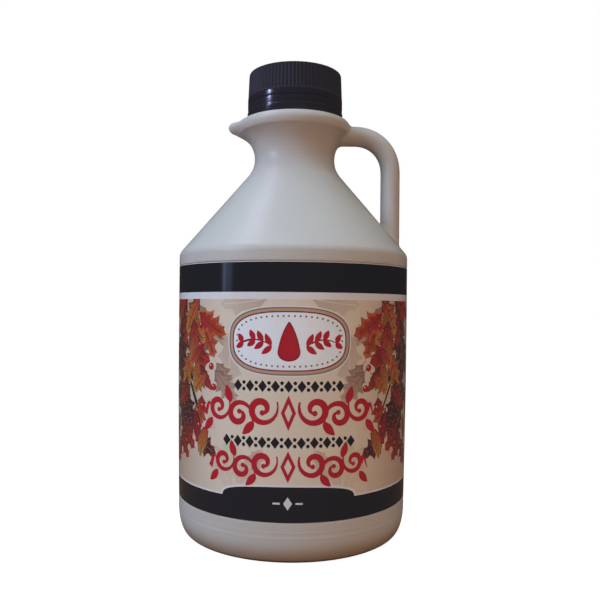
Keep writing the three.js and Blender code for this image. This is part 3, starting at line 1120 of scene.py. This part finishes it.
def make_ring(material):
    """A turned band with a skirt that swells to a lip, a fine groove over it, and the bridges."""
    lip = RING_RADIUS + RING_LIP_PROUD
    groove = RING_RADIUS - RING_GROOVE_DEPTH
    inside = (RING_BORE_RADIUS, RING_BOTTOM_Z + 1, 0)
    rows = rounded([
        inside,
        (RING_BORE_RADIUS, RING_BOTTOM_Z, RING_EDGE_ROUND),
        (RING_BOTTOM_RADIUS, RING_BOTTOM_Z, RING_FOOT_ROUND),
        (lip - RING_LIP_LEAN, RING_LIP_Z, RING_SKIRT_ROUND),
        (lip, RING_LIP_TOP_Z, RING_LIP_ROUND),
        (groove, RING_LIP_TOP_Z + RING_LIP_LEAN, RING_GROOVE_ROUND),
        (groove, RING_GROOVE_TOP_Z - RING_LIP_LEAN, RING_GROOVE_ROUND),
        (RING_RADIUS - RING_WALL_LEAN, RING_GROOVE_TOP_Z, RING_FINE_ROUND),
        (RING_RADIUS, RING_TOP_Z, RING_FINE_ROUND),
        (RING_BORE_RADIUS, RING_TOP_Z, RING_EDGE_ROUND),
        inside,
    ])[:-1]
    angles = np.arange(RING_COLUMNS) * 2 * math.pi / RING_COLUMNS
    points = ring_points(rows, angles)
    faces = grid_faces(len(rows), RING_COLUMNS)
    faces += strip_faces(range(len(points) - RING_COLUMNS, len(points)), range(RING_COLUMNS))
    points = points.tolist()
    for i in range(BRIDGE_COUNT):
        add_bridge(points, faces, 2 * math.pi * (i + 0.5) / BRIDGE_COUNT)
    return make_piece("tamper_ring", points, faces, material, "cap_ring")


def add_bridge(points, faces, angle):
    """One thin bridge that rises from the ring across the slit, nearly to the cap."""
    low, high = RING_TOP_Z - BRIDGE_SUNK, CAP_BOTTOM_Z - BRIDGE_GAP
    inner, outer = BRIDGE_INNER_RADIUS, BRIDGE_OUTER_RADIUS
    foot = range(len(points), len(points) + 4)
    head = range(len(points) + 4, len(points) + 8)
    c, s = math.cos(angle), math.sin(angle)
    for height, share in ((low, 1.0), (high, BRIDGE_TOP_SHARE)):
        for radius, side in ((inner, -1), (outer, -1), (outer, 1), (inner, 1)):
            across = side * BRIDGE_HALF_WIDTH * share
            points.append([radius * c - across * s, radius * s + across * c, height])
    faces.append(tuple(foot)[::-1])
    faces.append(tuple(head))
    faces.extend(strip_faces(foot, head))


def ribbed(radius, height, angle):
    """The cap's radius with its ribs, which fade out at the crown and at the bead."""
    ridge = (0.5 + 0.5 * np.cos(RIB_COUNT * angle)) ** RIB_SHARPNESS
    side = smoothstep(*(CAP_TOP_RADIUS - fade for fade in RIB_CROWN_FADE), radius)
    start = smoothstep(*(CAP_BEAD_TOP_Z + fade for fade in RIB_BEAD_FADE), height)
    end = 1 - smoothstep(*(CAP_TOP_Z - fade for fade in RIB_TOP_FADE), height)
    return radius - RIB_HEIGHT * (1 - ridge) * side * start * end


def make_cap(material):
    """A turned cap, ribbed from its bead to its crown."""
    slope = (CAP_TOP_RADIUS - CAP_BEAD_RADIUS) / (CAP_TOP_Z - CAP_BEAD_TOP_Z)
    side_heights = np.linspace(CAP_BEAD_TOP_Z + CAP_SIDE_FOOT_GAP, CAP_TOP_Z - CAP_SIDE_TOP_GAP,
                               CAP_SIDE_ROWS)
    side = np.stack([CAP_BEAD_RADIUS - CAP_SIDE_SET_BACK + slope * (side_heights - CAP_BEAD_TOP_Z),
                     side_heights], -1)
    foot = rounded([
        (CAP_INSIDE_RADIUS, CAP_BOTTOM_Z, 0),
        (CAP_BEAD_RADIUS - CAP_BEAD_SAG, CAP_BOTTOM_Z, CAP_FOOT_ROUND),
        (CAP_BEAD_RADIUS, CAP_BOTTOM_Z + CAP_BEAD_MIDDLE, CAP_BEAD_CURVE),
        (CAP_BEAD_RADIUS - CAP_BEAD_SAG, CAP_BEAD_TOP_Z, 0),
    ])
    dish_z = CAP_TOP_Z - CAP_DISH_DEPTH
    crown = rounded([
        (CAP_TOP_RADIUS - CAP_CROWN_SET_BACK, CAP_TOP_Z - CAP_CROWN_LEAD, 0),
        (CAP_TOP_RADIUS - CAP_SIDE_SET_BACK, CAP_TOP_Z, CAP_CROWN_ROUND),
        (CAP_DISH_RADIUS + CAP_DISH_SLOPE, CAP_TOP_Z, CAP_DISH_ROUND),
        (CAP_DISH_RADIUS, dish_z, CAP_CROWN_ROUND),
        *((radius, dish_z + rise, 0) for radius, rise in CAP_GATE),
    ])
    outline = np.concatenate([foot, side, crown])
    points, faces = turned(outline, RIB_COUNT * COLUMNS_PER_RIB, ribbed)
    return make_piece("ribbed_cap", points, faces, material, "screw_cap")


# Print of the label: shapes in (distance round the jug, height), later ones over earlier ones


class Print:
    """Shapes of the print in the order that they are laid on."""

    def __init__(self):
        self.points = []
        self.faces = []
        self.paints = []

    def shape(self, outline, colour, fade_to=None, start=(0, 0), end=(0, 1)):
        """A shape of one colour, or of a colour that fades to another between two places."""
        first = len(self.points)
        self.points.extend(Vector((float(s), float(z))) for s, z in outline)
        self.faces.append(list(range(first, first + len(outline))))
        self.paints.append((*colour, *(colour if fade_to is None else fade_to), *start, *end))

    def stroke(self, route, widths, colour):
        """A line of changing width, as one four-sided shape for each step."""
        route = np.asarray(route, float)
        ahead = np.gradient(route, axis=0)
        ahead /= np.linalg.norm(ahead, axis=1, keepdims=True) + 1e-9
        side = np.stack([-ahead[:, 1], ahead[:, 0]], -1) * (np.asarray(widths) / 2)[:, None]
        left, right = route + side, route - side
        for i in range(len(route) - 1):
            self.shape([right[i], right[i + 1], left[i + 1], left[i]], colour)

    def disc(self, s, z, radius, colour, steps=24):
        self.shape(oval(radius, radius, 1, steps) + (s, z), colour)

    def rectangle(self, left, low, right, high, colour, *fade):
        self.shape([(left, low), (right, low), (right, high), (left, high)], colour, *fade)

    def lozenge(self, s, z, half_width, half_height, colour):
        self.shape([(s - half_width, z), (s, z - half_height), (s + half_width, z),
                    (s, z + half_height)], colour)

    def colours(self, places, shape_numbers):
        """Colours at places that lie on the numbered shapes."""
        paint = np.array(self.paints)[shape_numbers]
        start, reach = paint[:, 6:8], paint[:, 8:10] - paint[:, 6:8]
        share = ((places - start) * reach).sum(1) / (reach * reach).sum(1)
        share = smoothstep(0, 1, share)[:, None]
        return paint[:, :3] * (1 - share) + paint[:, 3:6] * share


def oval(half_width, half_height, power, steps):
    """Points round an oval. A power under 1 fills out its corners."""
    turn = np.arange(steps) * 2 * math.pi / steps
    across = np.sign(np.cos(turn)) * np.abs(np.cos(turn)) ** power
    up = np.sign(np.sin(turn)) * np.abs(np.sin(turn)) ** power
    return np.stack([half_width * across, half_height * up], -1)


def evenly_spaced(points, count):
    """Numbers of count points that lie at even steps round a closed outline."""
    steps = np.linalg.norm(np.diff(points, axis=0, append=points[:1]), axis=1)
    way = np.cumsum(steps) - steps
    return np.searchsorted(way, np.arange(count) * steps.sum() / count)


def bent(points, length, bend):
    """Bends points that lie along +s into an arc that turns by bend over length."""
    points = np.asarray(points, float)
    if abs(bend) < 1e-6:
        return points
    turn = bend * points[:, 0] / length
    reach = length / bend
    middle = np.stack([reach * np.sin(turn), reach * (1 - np.cos(turn))], -1)
    side = np.stack([-np.sin(turn), np.cos(turn)], -1)
    return middle + side * points[:, 1:]


def placed(points, s, z, heading, mirror):
    c, v = math.cos(heading), math.sin(heading)
    points = np.asarray(points, float)
    turned_points = np.stack([points[:, 0] * c - points[:, 1] * v,
                              points[:, 0] * v + points[:, 1] * c], -1) + (s, z)
    turned_points[:, 0] = PRINT_CENTRE + mirror * turned_points[:, 0]
    return turned_points if mirror > 0 else turned_points[::-1]


def leaf_outline(length, half_width, lobes, depth):
    """A leaf along +s with its stalk end at 0 and pointed lobes. No lobes give a plain leaf."""
    steps = STEPS_PER_LOBE * lobes if lobes else PLAIN_LEAF_STEPS
    along = np.linspace(0, 1, steps + 1)
    swell = np.sin(math.pi * along ** LEAF_SKEW) ** LEAF_FULLNESS
    tooth = 1 - 2 * np.abs((lobes * along) % 1 - 0.5) if lobes else np.ones(steps + 1)
    half = half_width * swell * (1 - depth * (1 - tooth ** LOBE_SHARPNESS))
    place = length * (along + LOBE_LEAN * tooth * (1 - along) * (lobes > 0))
    upper = np.stack([place, half], -1)
    lower = np.stack([place, -half], -1)[1:-1]
    return np.concatenate([lower, upper[::-1]])


def draw_plain_leaf(sheet, s, z, heading, length, width, colour, mirror):
    outline = bent(leaf_outline(length, width / 2, 0, 0), length, PLAIN_LEAF_BEND)
    sheet.shape(placed(outline, s, z, heading, mirror), colour)


def draw_leaf(sheet, place, heading, length, width, lobes, bend, tints, mirror):
    """A leaf that fades from its stalk to its tip, with a darker heart and with veins."""
    stalk_tint, tip_tint, heart_tint, vein_tint = tints
    depth = DEEP_LOBES if lobes < 6 else SMALL_TEETH

    def laid(points):
        return placed(bent(points, length, bend), *place, heading, mirror)

    start, end = laid([(0, 0), (length, 0)])[::mirror]
    sheet.shape(laid(leaf_outline(length, width / 2, lobes, depth)), stalk_tint, tip_tint, start, end)
    heart = leaf_outline(HEART_LENGTH * length, HEART_WIDTH * width, lobes, depth)
    heart[:, 0] += HEART_START * length
    sheet.shape(laid(heart), heart_tint, (heart_tint + tip_tint) / 2, start, end)
    along = np.linspace(STALK_END, MIDRIB_END, MIDRIB_STEPS) * length
    rib = np.stack([along, np.zeros(MIDRIB_STEPS)], -1)
    sheet.stroke(laid(rib), np.linspace(0.036, 0.0072, MIDRIB_STEPS) * width, vein_tint)
    pairs = max(4, min(lobes, 6))
    for i in range(pairs):
        at = (i + 0.6) / (pairs + 0.6)
        reach = VEIN_REACH * width * math.sin(math.pi * at ** LEAF_SKEW)
        for side in (-1, 1):
            vein = [(at * length, 0), ((at + 0.06) * length, side * reach * 0.55),
                    ((at + 0.13) * length, side * reach)]
            sheet.stroke(laid(vein), (0.026 * width, 0.018 * width, 0.006 * width), vein_tint)


def draw_ghosts(sheet):
    """Faint leaves behind the print, as a watermark."""
    for mirror in (-1, 1):
        for s, z, heading, length, width, tint in (
            (8, 101, -15, 21, 11, GHOST_TAN),
            (24, 88, -95, 24, 13, GHOST_TAN),
            (32, 62, -70, 24, 13, GHOST_PEACH),
            (24, 48, -95, 22, 12, GHOST_GREEN),
            (32, 44, -125, 20, 11, GHOST_PEACH),
            (10, 44, -60, 18, 10, GHOST_TAN),
        ):
            rib = np.stack([np.linspace(-0.2, 0.9, 7) * length, np.zeros(7)], -1)
            outline, ends, rib = (
                placed(bent(points, length, GHOST_BEND), s, z, math.radians(heading), mirror)
                for points in (leaf_outline(length, width / 2, GHOST_LOBES, GHOST_LOBE_DEPTH),
                               [(0, 0), (length, 0)], rib))
            sheet.shape(outline, tint, (tint + CREAM) / 2, *ends[::mirror])
            sheet.stroke(rib, np.full(7, 0.35), CREAM)


def draw_smoke(sheet):
    """The cream turns brown behind the boughs, and back to cream on the jug's sides."""
    for side in (-1, 1):
        for clear, brown in ((SMOKE_START, SMOKE_MIDDLE), (SMOKE_END, SMOKE_MIDDLE)):
            ends = [PRINT_CENTRE + side * s for s in (clear, brown)]
            sheet.rectangle(min(ends), LOWER_BAND_Z, max(ends), ART_TOP_Z, CREAM, SMOKE,
                            (ends[0], 0), (ends[1], 0))


def draw_boughs(sheet):
    """A hanging bough of lobed and plain leaves with berries down each side, the sides mirrored."""
    draw = random.Random(23)
    leaves = []
    for count, middle, spread, reach, washes in (
        (8, 37, 3, 34, ("haze", "haze", "flame")),
        (26, 58, 9, 62, ("dusk", "dusk", "ember")),
        (12, 47, 5, 54, ("gold", "flame", "ember")),
        (7, 42, 4, 34, ("flame", "gold", "rust")),
    ):
        for i in range(count):
            down = (i + draw.uniform(0.2, 0.8)) / count
            s = middle + 4 * math.sin(4.2 * down) - 4 * down + draw.uniform(-spread, spread)
            z = BOUGH_TOP_Z - reach * down
            heading = draw.uniform(-55, 55) - 90
            length = draw.uniform(15, 20) * (1 - 0.2 * down)
            lobed = draw.random() < 0.75
            leaves.append((s, z, heading, length, draw.choice(washes), lobed, draw.uniform(-0.5, 0.5)))
    for mirror in (-1, 1):
        down = np.linspace(0, 1, 30)
        stem = np.stack([50 + 6 * np.sin(4.2 * down) - 6 * down, 103 - 52 * down], -1)
        sheet.stroke(placed(stem, 0, 0, 0, mirror), np.linspace(2.0, 0.7, 30), LEAF_DARK)
        for s, z, heading, length, wash, lobed, bend in leaves:
            draw_leaf(sheet, (s, z), math.radians(heading), length, length * (0.72 if lobed else 0.4),
                      4 if lobed else 7, bend, WASHES[wash], mirror)
        for i in range(BERRY_COUNT):
            down = (i + 0.5) / BERRY_COUNT
            x = PRINT_CENTRE + mirror * (36 + 5 * math.sin(9 * down))
            z = BERRY_TOP_Z - BERRY_REACH * down
            sheet.disc(x, z, 1.4, DEEP_RED)
            sheet.disc(x - 0.1, z + 0.1, 1.1, RED)
            sheet.disc(x - 0.4, z + 0.5, 0.3, MARGIN, steps=10)


def drop_outline(s, z, radius, tall):
    """A drop with its round foot below and its point above."""
    turn = np.linspace(-0.5, 1.5, 41)[:-1] * math.pi
    pinch = (1 - np.sin(turn)) / 2
    across = radius * np.cos(turn) * (0.25 + 0.75 * pinch ** 0.6) * 1.1
    up = np.where(np.sin(turn) > 0, np.sin(turn) * tall, np.sin(turn) * radius)
    return np.stack([s + across, z + up], -1)


def badge_outline(inset, steps):
    return oval(BADGE_HALF_WIDTH - inset, BADGE_HALF_HEIGHT - inset, BADGE_POWER, steps)


def draw_badge(sheet):
    """A plain oblong badge with a bead border, a drop and a leafy twig either side of it."""
    s, z = PRINT_CENTRE, BADGE_Z
    for inset, colour in ((0, MARGIN), (0.5, BADGE_LINE), (1.0, TAN_LINE), (2.0, DEEP_RED),
                          (2.5, BADGE_GROUND)):
        sheet.shape(badge_outline(inset, 96) + (s, z), colour)
    border = badge_outline(BEAD_INSET, 4000)
    for across, up in border[evenly_spaced(border, BEAD_COUNT)]:
        sheet.disc(s + across, z + up, 0.42, BADGE_LINE, steps=12)
    sheet.shape(drop_outline(s, z - 2.6, 5.0, 10.0), DEEP_RED)
    sheet.shape(drop_outline(s, z - 2.6, 4.5, 9.1), RED)
    for side in (-1, 1):
        twig = np.stack([np.linspace(6.6, 18.0, 8), z - 1.6 + 2.2 * np.sin(np.linspace(0, 2.6, 8))], -1)
        sheet.stroke(placed(twig, 0, 0, 0, side), np.linspace(0.8, 0.35, 8), DEEP_RED)
        for k in range(4):
            at, up = twig[2 * k if k < 3 else 7]
            for hand in (-1, 1):
                draw_plain_leaf(sheet, at, up, math.radians(50 * hand), 5.2 - 0.5 * k, 2.3, RED, side)


def scroll(sheet, s, z, size, hand, mirror, colour):
    """One spiral with a swelling line. hand is 1 for a spiral that curls up, -1 for down."""
    steps = 30
    t = np.linspace(0, 1, steps)
    angle = math.pi * (1.15 - 2.6 * t)
    radius = size * (1 - 0.80 * t ** 0.8)
    route = np.stack([radius * np.cos(angle), hand * radius * np.sin(angle)], -1)
    swell = np.sin(math.pi * np.clip(t * 1.05, 0, 1)) ** 0.8
    sheet.stroke(placed(route, s, z, 0, mirror), size * (0.10 + 0.30 * swell), colour)
    x, y = route[-1]
    sheet.disc(PRINT_CENTRE + mirror * (s + x), z + y, size * 0.16, colour, steps=14)


def draw_frieze(sheet, z, size, count, colour):
    """A running scroll either side of a lozenge, with plain leaves in between the scrolls."""
    pitch = size * 1.4
    for mirror in (-1, 1):
        for i in range(count):
            hand = 1 if i % 2 else -1
            s = FRIEZE_START + pitch * (i + 0.6)
            grow = 1 - 0.07 * i
            scroll(sheet, s, z - hand * 1.2, size * grow, hand, mirror, colour)
            draw_plain_leaf(sheet, s + pitch * 0.35, z + hand * size * 0.5, math.radians(60 * hand),
                            size * 1.05, size * 0.5, colour, mirror)
        tail = np.linspace(0, 1, 14)
        route = np.stack([FRIEZE_START + pitch * count + tail * 3.5,
                          z + 2.4 * np.sin(tail * math.pi * 1.4)], -1)
        sheet.stroke(placed(route, 0, 0, 0, mirror), 2.0 * (1 - tail) + 0.2, colour)
    for grow, tint in ((1.0, colour), (0.5, CREAM)):
        sheet.lozenge(PRINT_CENTRE, z, 2.9 * grow, size * grow, tint)


def draw_lozenge_row(sheet, z, half_length, colour):
    """A dark row of lozenges and upright pairs of dots."""
    count = int(half_length / LOZENGE_PITCH)
    for i in range(-count, count + 1):
        s = PRINT_CENTRE + i * LOZENGE_PITCH
        if i % 2 == 0:
            sheet.lozenge(s, z, LOZENGE_HALF_WIDTH, LOZENGE_HALF_HEIGHT, colour)
        else:
            sheet.disc(s, z + DOT_RISE, DOT_RADIUS, colour, steps=12)
            sheet.disc(s, z - DOT_RISE, DOT_RADIUS, colour, steps=12)


def draw_bands(sheet):
    """The dark bands with their pale lines. The lower one rises to a flat arch at the front."""
    trim_z = LABEL_TOP_Z - TRIM_LINE
    sheet.rectangle(LABEL_LEFT, ART_TOP_Z, LABEL_RIGHT, TOP_BAND_Z, MARGIN)
    sheet.rectangle(LABEL_LEFT, TOP_BAND_Z, LABEL_RIGHT, trim_z, BAND)
    sheet.rectangle(LABEL_LEFT, trim_z, LABEL_RIGHT, LABEL_TOP_Z, MARGIN)
    turn = np.linspace(0, math.pi, 49)
    sideways = np.sign(np.cos(turn)) * np.abs(np.cos(turn)) ** 0.9
    rise = (ARCH_TOP_Z - LOWER_BAND_Z + ARCH_SUNK) * np.sin(turn) ** 0.6
    for margin, colour in ((MARGIN_LINE, MARGIN), (0, BAND)):
        sheet.rectangle(LABEL_LEFT, LABEL_BOTTOM_Z, LABEL_RIGHT, LOWER_BAND_Z + margin, colour)
        across = (ARCH_HALF_WIDTH + margin) * sideways
        sheet.shape(np.stack([PRINT_CENTRE + across, LOWER_BAND_Z - ARCH_SUNK + margin + rise], -1),
                    colour)


def draw_volume_mark(sheet):
    """A pale lozenge between two short bars on the lower band."""
    s, z = PRINT_CENTRE, VOLUME_MARK_Z
    sheet.lozenge(s, z, 1.7, 2.5, PALE_MARK)
    for side in (-1, 1):
        middle = s + side * 4.4
        sheet.rectangle(middle - 1.4, z - 0.35, middle + 1.4, z + 0.35, PALE_MARK)


def draw_back_panel(sheet):
    """A plain pale panel with plain bars, opposite the front."""
    middle = PRINT_CENTRE - math.pi * BODY_RADIUS
    turn = np.linspace(0, math.pi / 2, 7)
    corner = BACK_PANEL_CORNER
    for half_width, half_height, colour in ((27, 33, BADGE_LINE), (26.6, 32.6, MARGIN)):
        outline = []
        for quarter, (across, up) in enumerate(((1, 1), (-1, 1), (-1, -1), (1, -1))):
            for angle in turn + quarter * math.pi / 2:
                outline.append((middle + across * (half_width - corner) + corner * math.cos(angle),
                                BACK_PANEL_Z + up * (half_height - corner) + corner * math.sin(angle)))
        sheet.shape(outline, colour)
    full, short = BACK_BAR_LENGTHS
    left = middle - full / 2
    for i in range(BACK_BAR_COUNT):
        z = BACK_BAR_TOP_Z - BACK_BAR_PITCH * i
        length = full if i % 4 != 3 else short
        sheet.rectangle(left, z, left + length, z + BACK_BAR_HEIGHT, BADGE_LINE)


def make_print():
    """All of the label's print, from the ground up."""
    sheet = Print()
    sheet.rectangle(LABEL_LEFT, LABEL_BOTTOM_Z, LABEL_RIGHT, LABEL_TOP_Z, CREAM)
    draw_smoke(sheet)
    draw_ghosts(sheet)
    draw_boughs(sheet)
    draw_bands(sheet)
    draw_badge(sheet)
    draw_lozenge_row(sheet, 67.6, 22, INK)
    draw_frieze(sheet, 57.6, 6.7, 3, RED)
    draw_lozenge_row(sheet, 46.4, 26, INK)
    draw_frieze(sheet, 37.4, 6.0, 3, RED)
    draw_volume_mark(sheet)
    draw_back_panel(sheet)
    return sheet


def flat_label(sheet):
    """The print cut into faces along its shapes: points, faces and the top shape of each face. The
    right end uses the points of the left end."""
    points = list(sheet.points)
    edges = []
    for i in range(LABEL_COLUMNS + 1):
        s = LABEL_LEFT + LABEL_LENGTH * i / LABEL_COLUMNS
        edges.append((len(points), len(points) + 1))
        points += [Vector((s, LABEL_BOTTOM_Z)), Vector((s, LABEL_TOP_Z))]
    for i in range(LABEL_ROWS + 1):
        z = LABEL_BOTTOM_Z + (LABEL_TOP_Z - LABEL_BOTTOM_Z) * i / LABEL_ROWS
        edges.append((len(points), len(points) + 1))
        points += [Vector((LABEL_LEFT, z)), Vector((LABEL_RIGHT, z))]
    flat, _, faces, _, _, origins = delaunay_2d_cdt(points, edges, sheet.faces, 0, 1e-5, True)
    flat = np.array([tuple(place) for place in flat])
    shapes = np.array([max(origin) if origin else 0 for origin in origins])
    return flat, faces, shapes


def end_points(flat, axis, value):
    """Numbers of the points on one side of the flat label, in order along that side."""
    there = np.flatnonzero(np.abs(flat[:, axis] - value) < 1e-3)
    return there[np.argsort(flat[there, 1 - axis])]


def make_label(material):
    """The flat label bent round the jug, with an inner skin and its two edges."""
    sheet = make_print()
    flat, faces, shapes = flat_label(sheet)
    sizes = np.array([len(face) for face in faces])
    corners = np.concatenate(faces)
    colours = sheet.colours(flat[corners], np.repeat(shapes, sizes))
    stand_in = np.arange(len(flat))
    right_end = end_points(flat, 0, LABEL_RIGHT)
    stand_in[right_end] = end_points(flat, 0, LABEL_LEFT)
    bottom = end_points(flat, 1, LABEL_BOTTOM_Z)[:-1]
    top = end_points(flat, 1, LABEL_TOP_Z)[:-1]
    angle = flat[:, 0] / BODY_RADIUS
    away = np.stack([np.sin(angle), -np.cos(angle)], -1)
    outer = np.concatenate([away * wall_radius(flat[:, 1])[:, None], flat[:, 1:]], 1)
    inner_heights = np.linspace(LABEL_BOTTOM_Z, LABEL_TOP_Z, LABEL_ROWS // 2)
    inner_outline = np.stack([wall_radius(inner_heights) - LABEL_THICKNESS, inner_heights], -1)
    inner = ring_points(inner_outline, angle[bottom] - math.pi / 2)
    columns = len(bottom)
    first = len(outer)
    last = first + len(inner) - columns
    all_faces = [tuple(stand_in[list(face)].tolist()) for face in faces]
    normals = [np.concatenate([away[corners], np.zeros((len(corners), 1))], 1)]
    inward = []
    for a, b, c, d in grid_faces(len(inner_heights), columns, first):
        all_faces.append((d, c, b, a))
        inward += [d, c, b, a]
    inner_away = inner[np.array(inward) - first] * (1, 1, 0)
    normals.append(-inner_away / np.linalg.norm(inner_away, axis=1, keepdims=True))
    all_faces += strip_faces(top, range(last, last + columns))
    normals.append(np.tile((0.0, 0.0, 1.0), (4 * columns, 1)))
    all_faces += strip_faces(range(first, first + columns), bottom)
    normals.append(np.tile((0.0, 0.0, -1.0), (4 * columns, 1)))
    keep = np.ones(first + len(inner), bool)
    keep[right_end] = False
    number = np.cumsum(keep) - 1
    all_faces = [tuple(number[list(face)].tolist()) for face in all_faces]
    piece = make_piece("printed_label", np.concatenate([outer, inner])[keep], all_faces, material,
                       "label_sleeve")
    piece.data.normals_split_custom_set(np.concatenate(normals).tolist())
    plain = np.tile(CREAM, (sum(map(len, all_faces)) - len(corners), 1))
    colours = np.concatenate([colours, plain])
    layer = piece.data.color_attributes.new(PRINT_LAYER, "FLOAT_COLOR", "CORNER")
    layer.data.foreach_set("color", np.pad(colours, ((0, 0), (0, 1)), constant_values=1)
                           .astype(np.float32).ravel())
    return piece


make_camera()
make_floor()
make_world()
make_lights()
bpy.context.scene.view_settings.view_transform = "Standard"
MOTTLE = make_mottle_group()
RELIEF = make_grain_group()
HANDLING = make_handling_group()
BLACK = black_plastic()
make_bottle(milky_plastic())
make_label(printed_film())
make_ring(BLACK)
make_cap(BLACK)
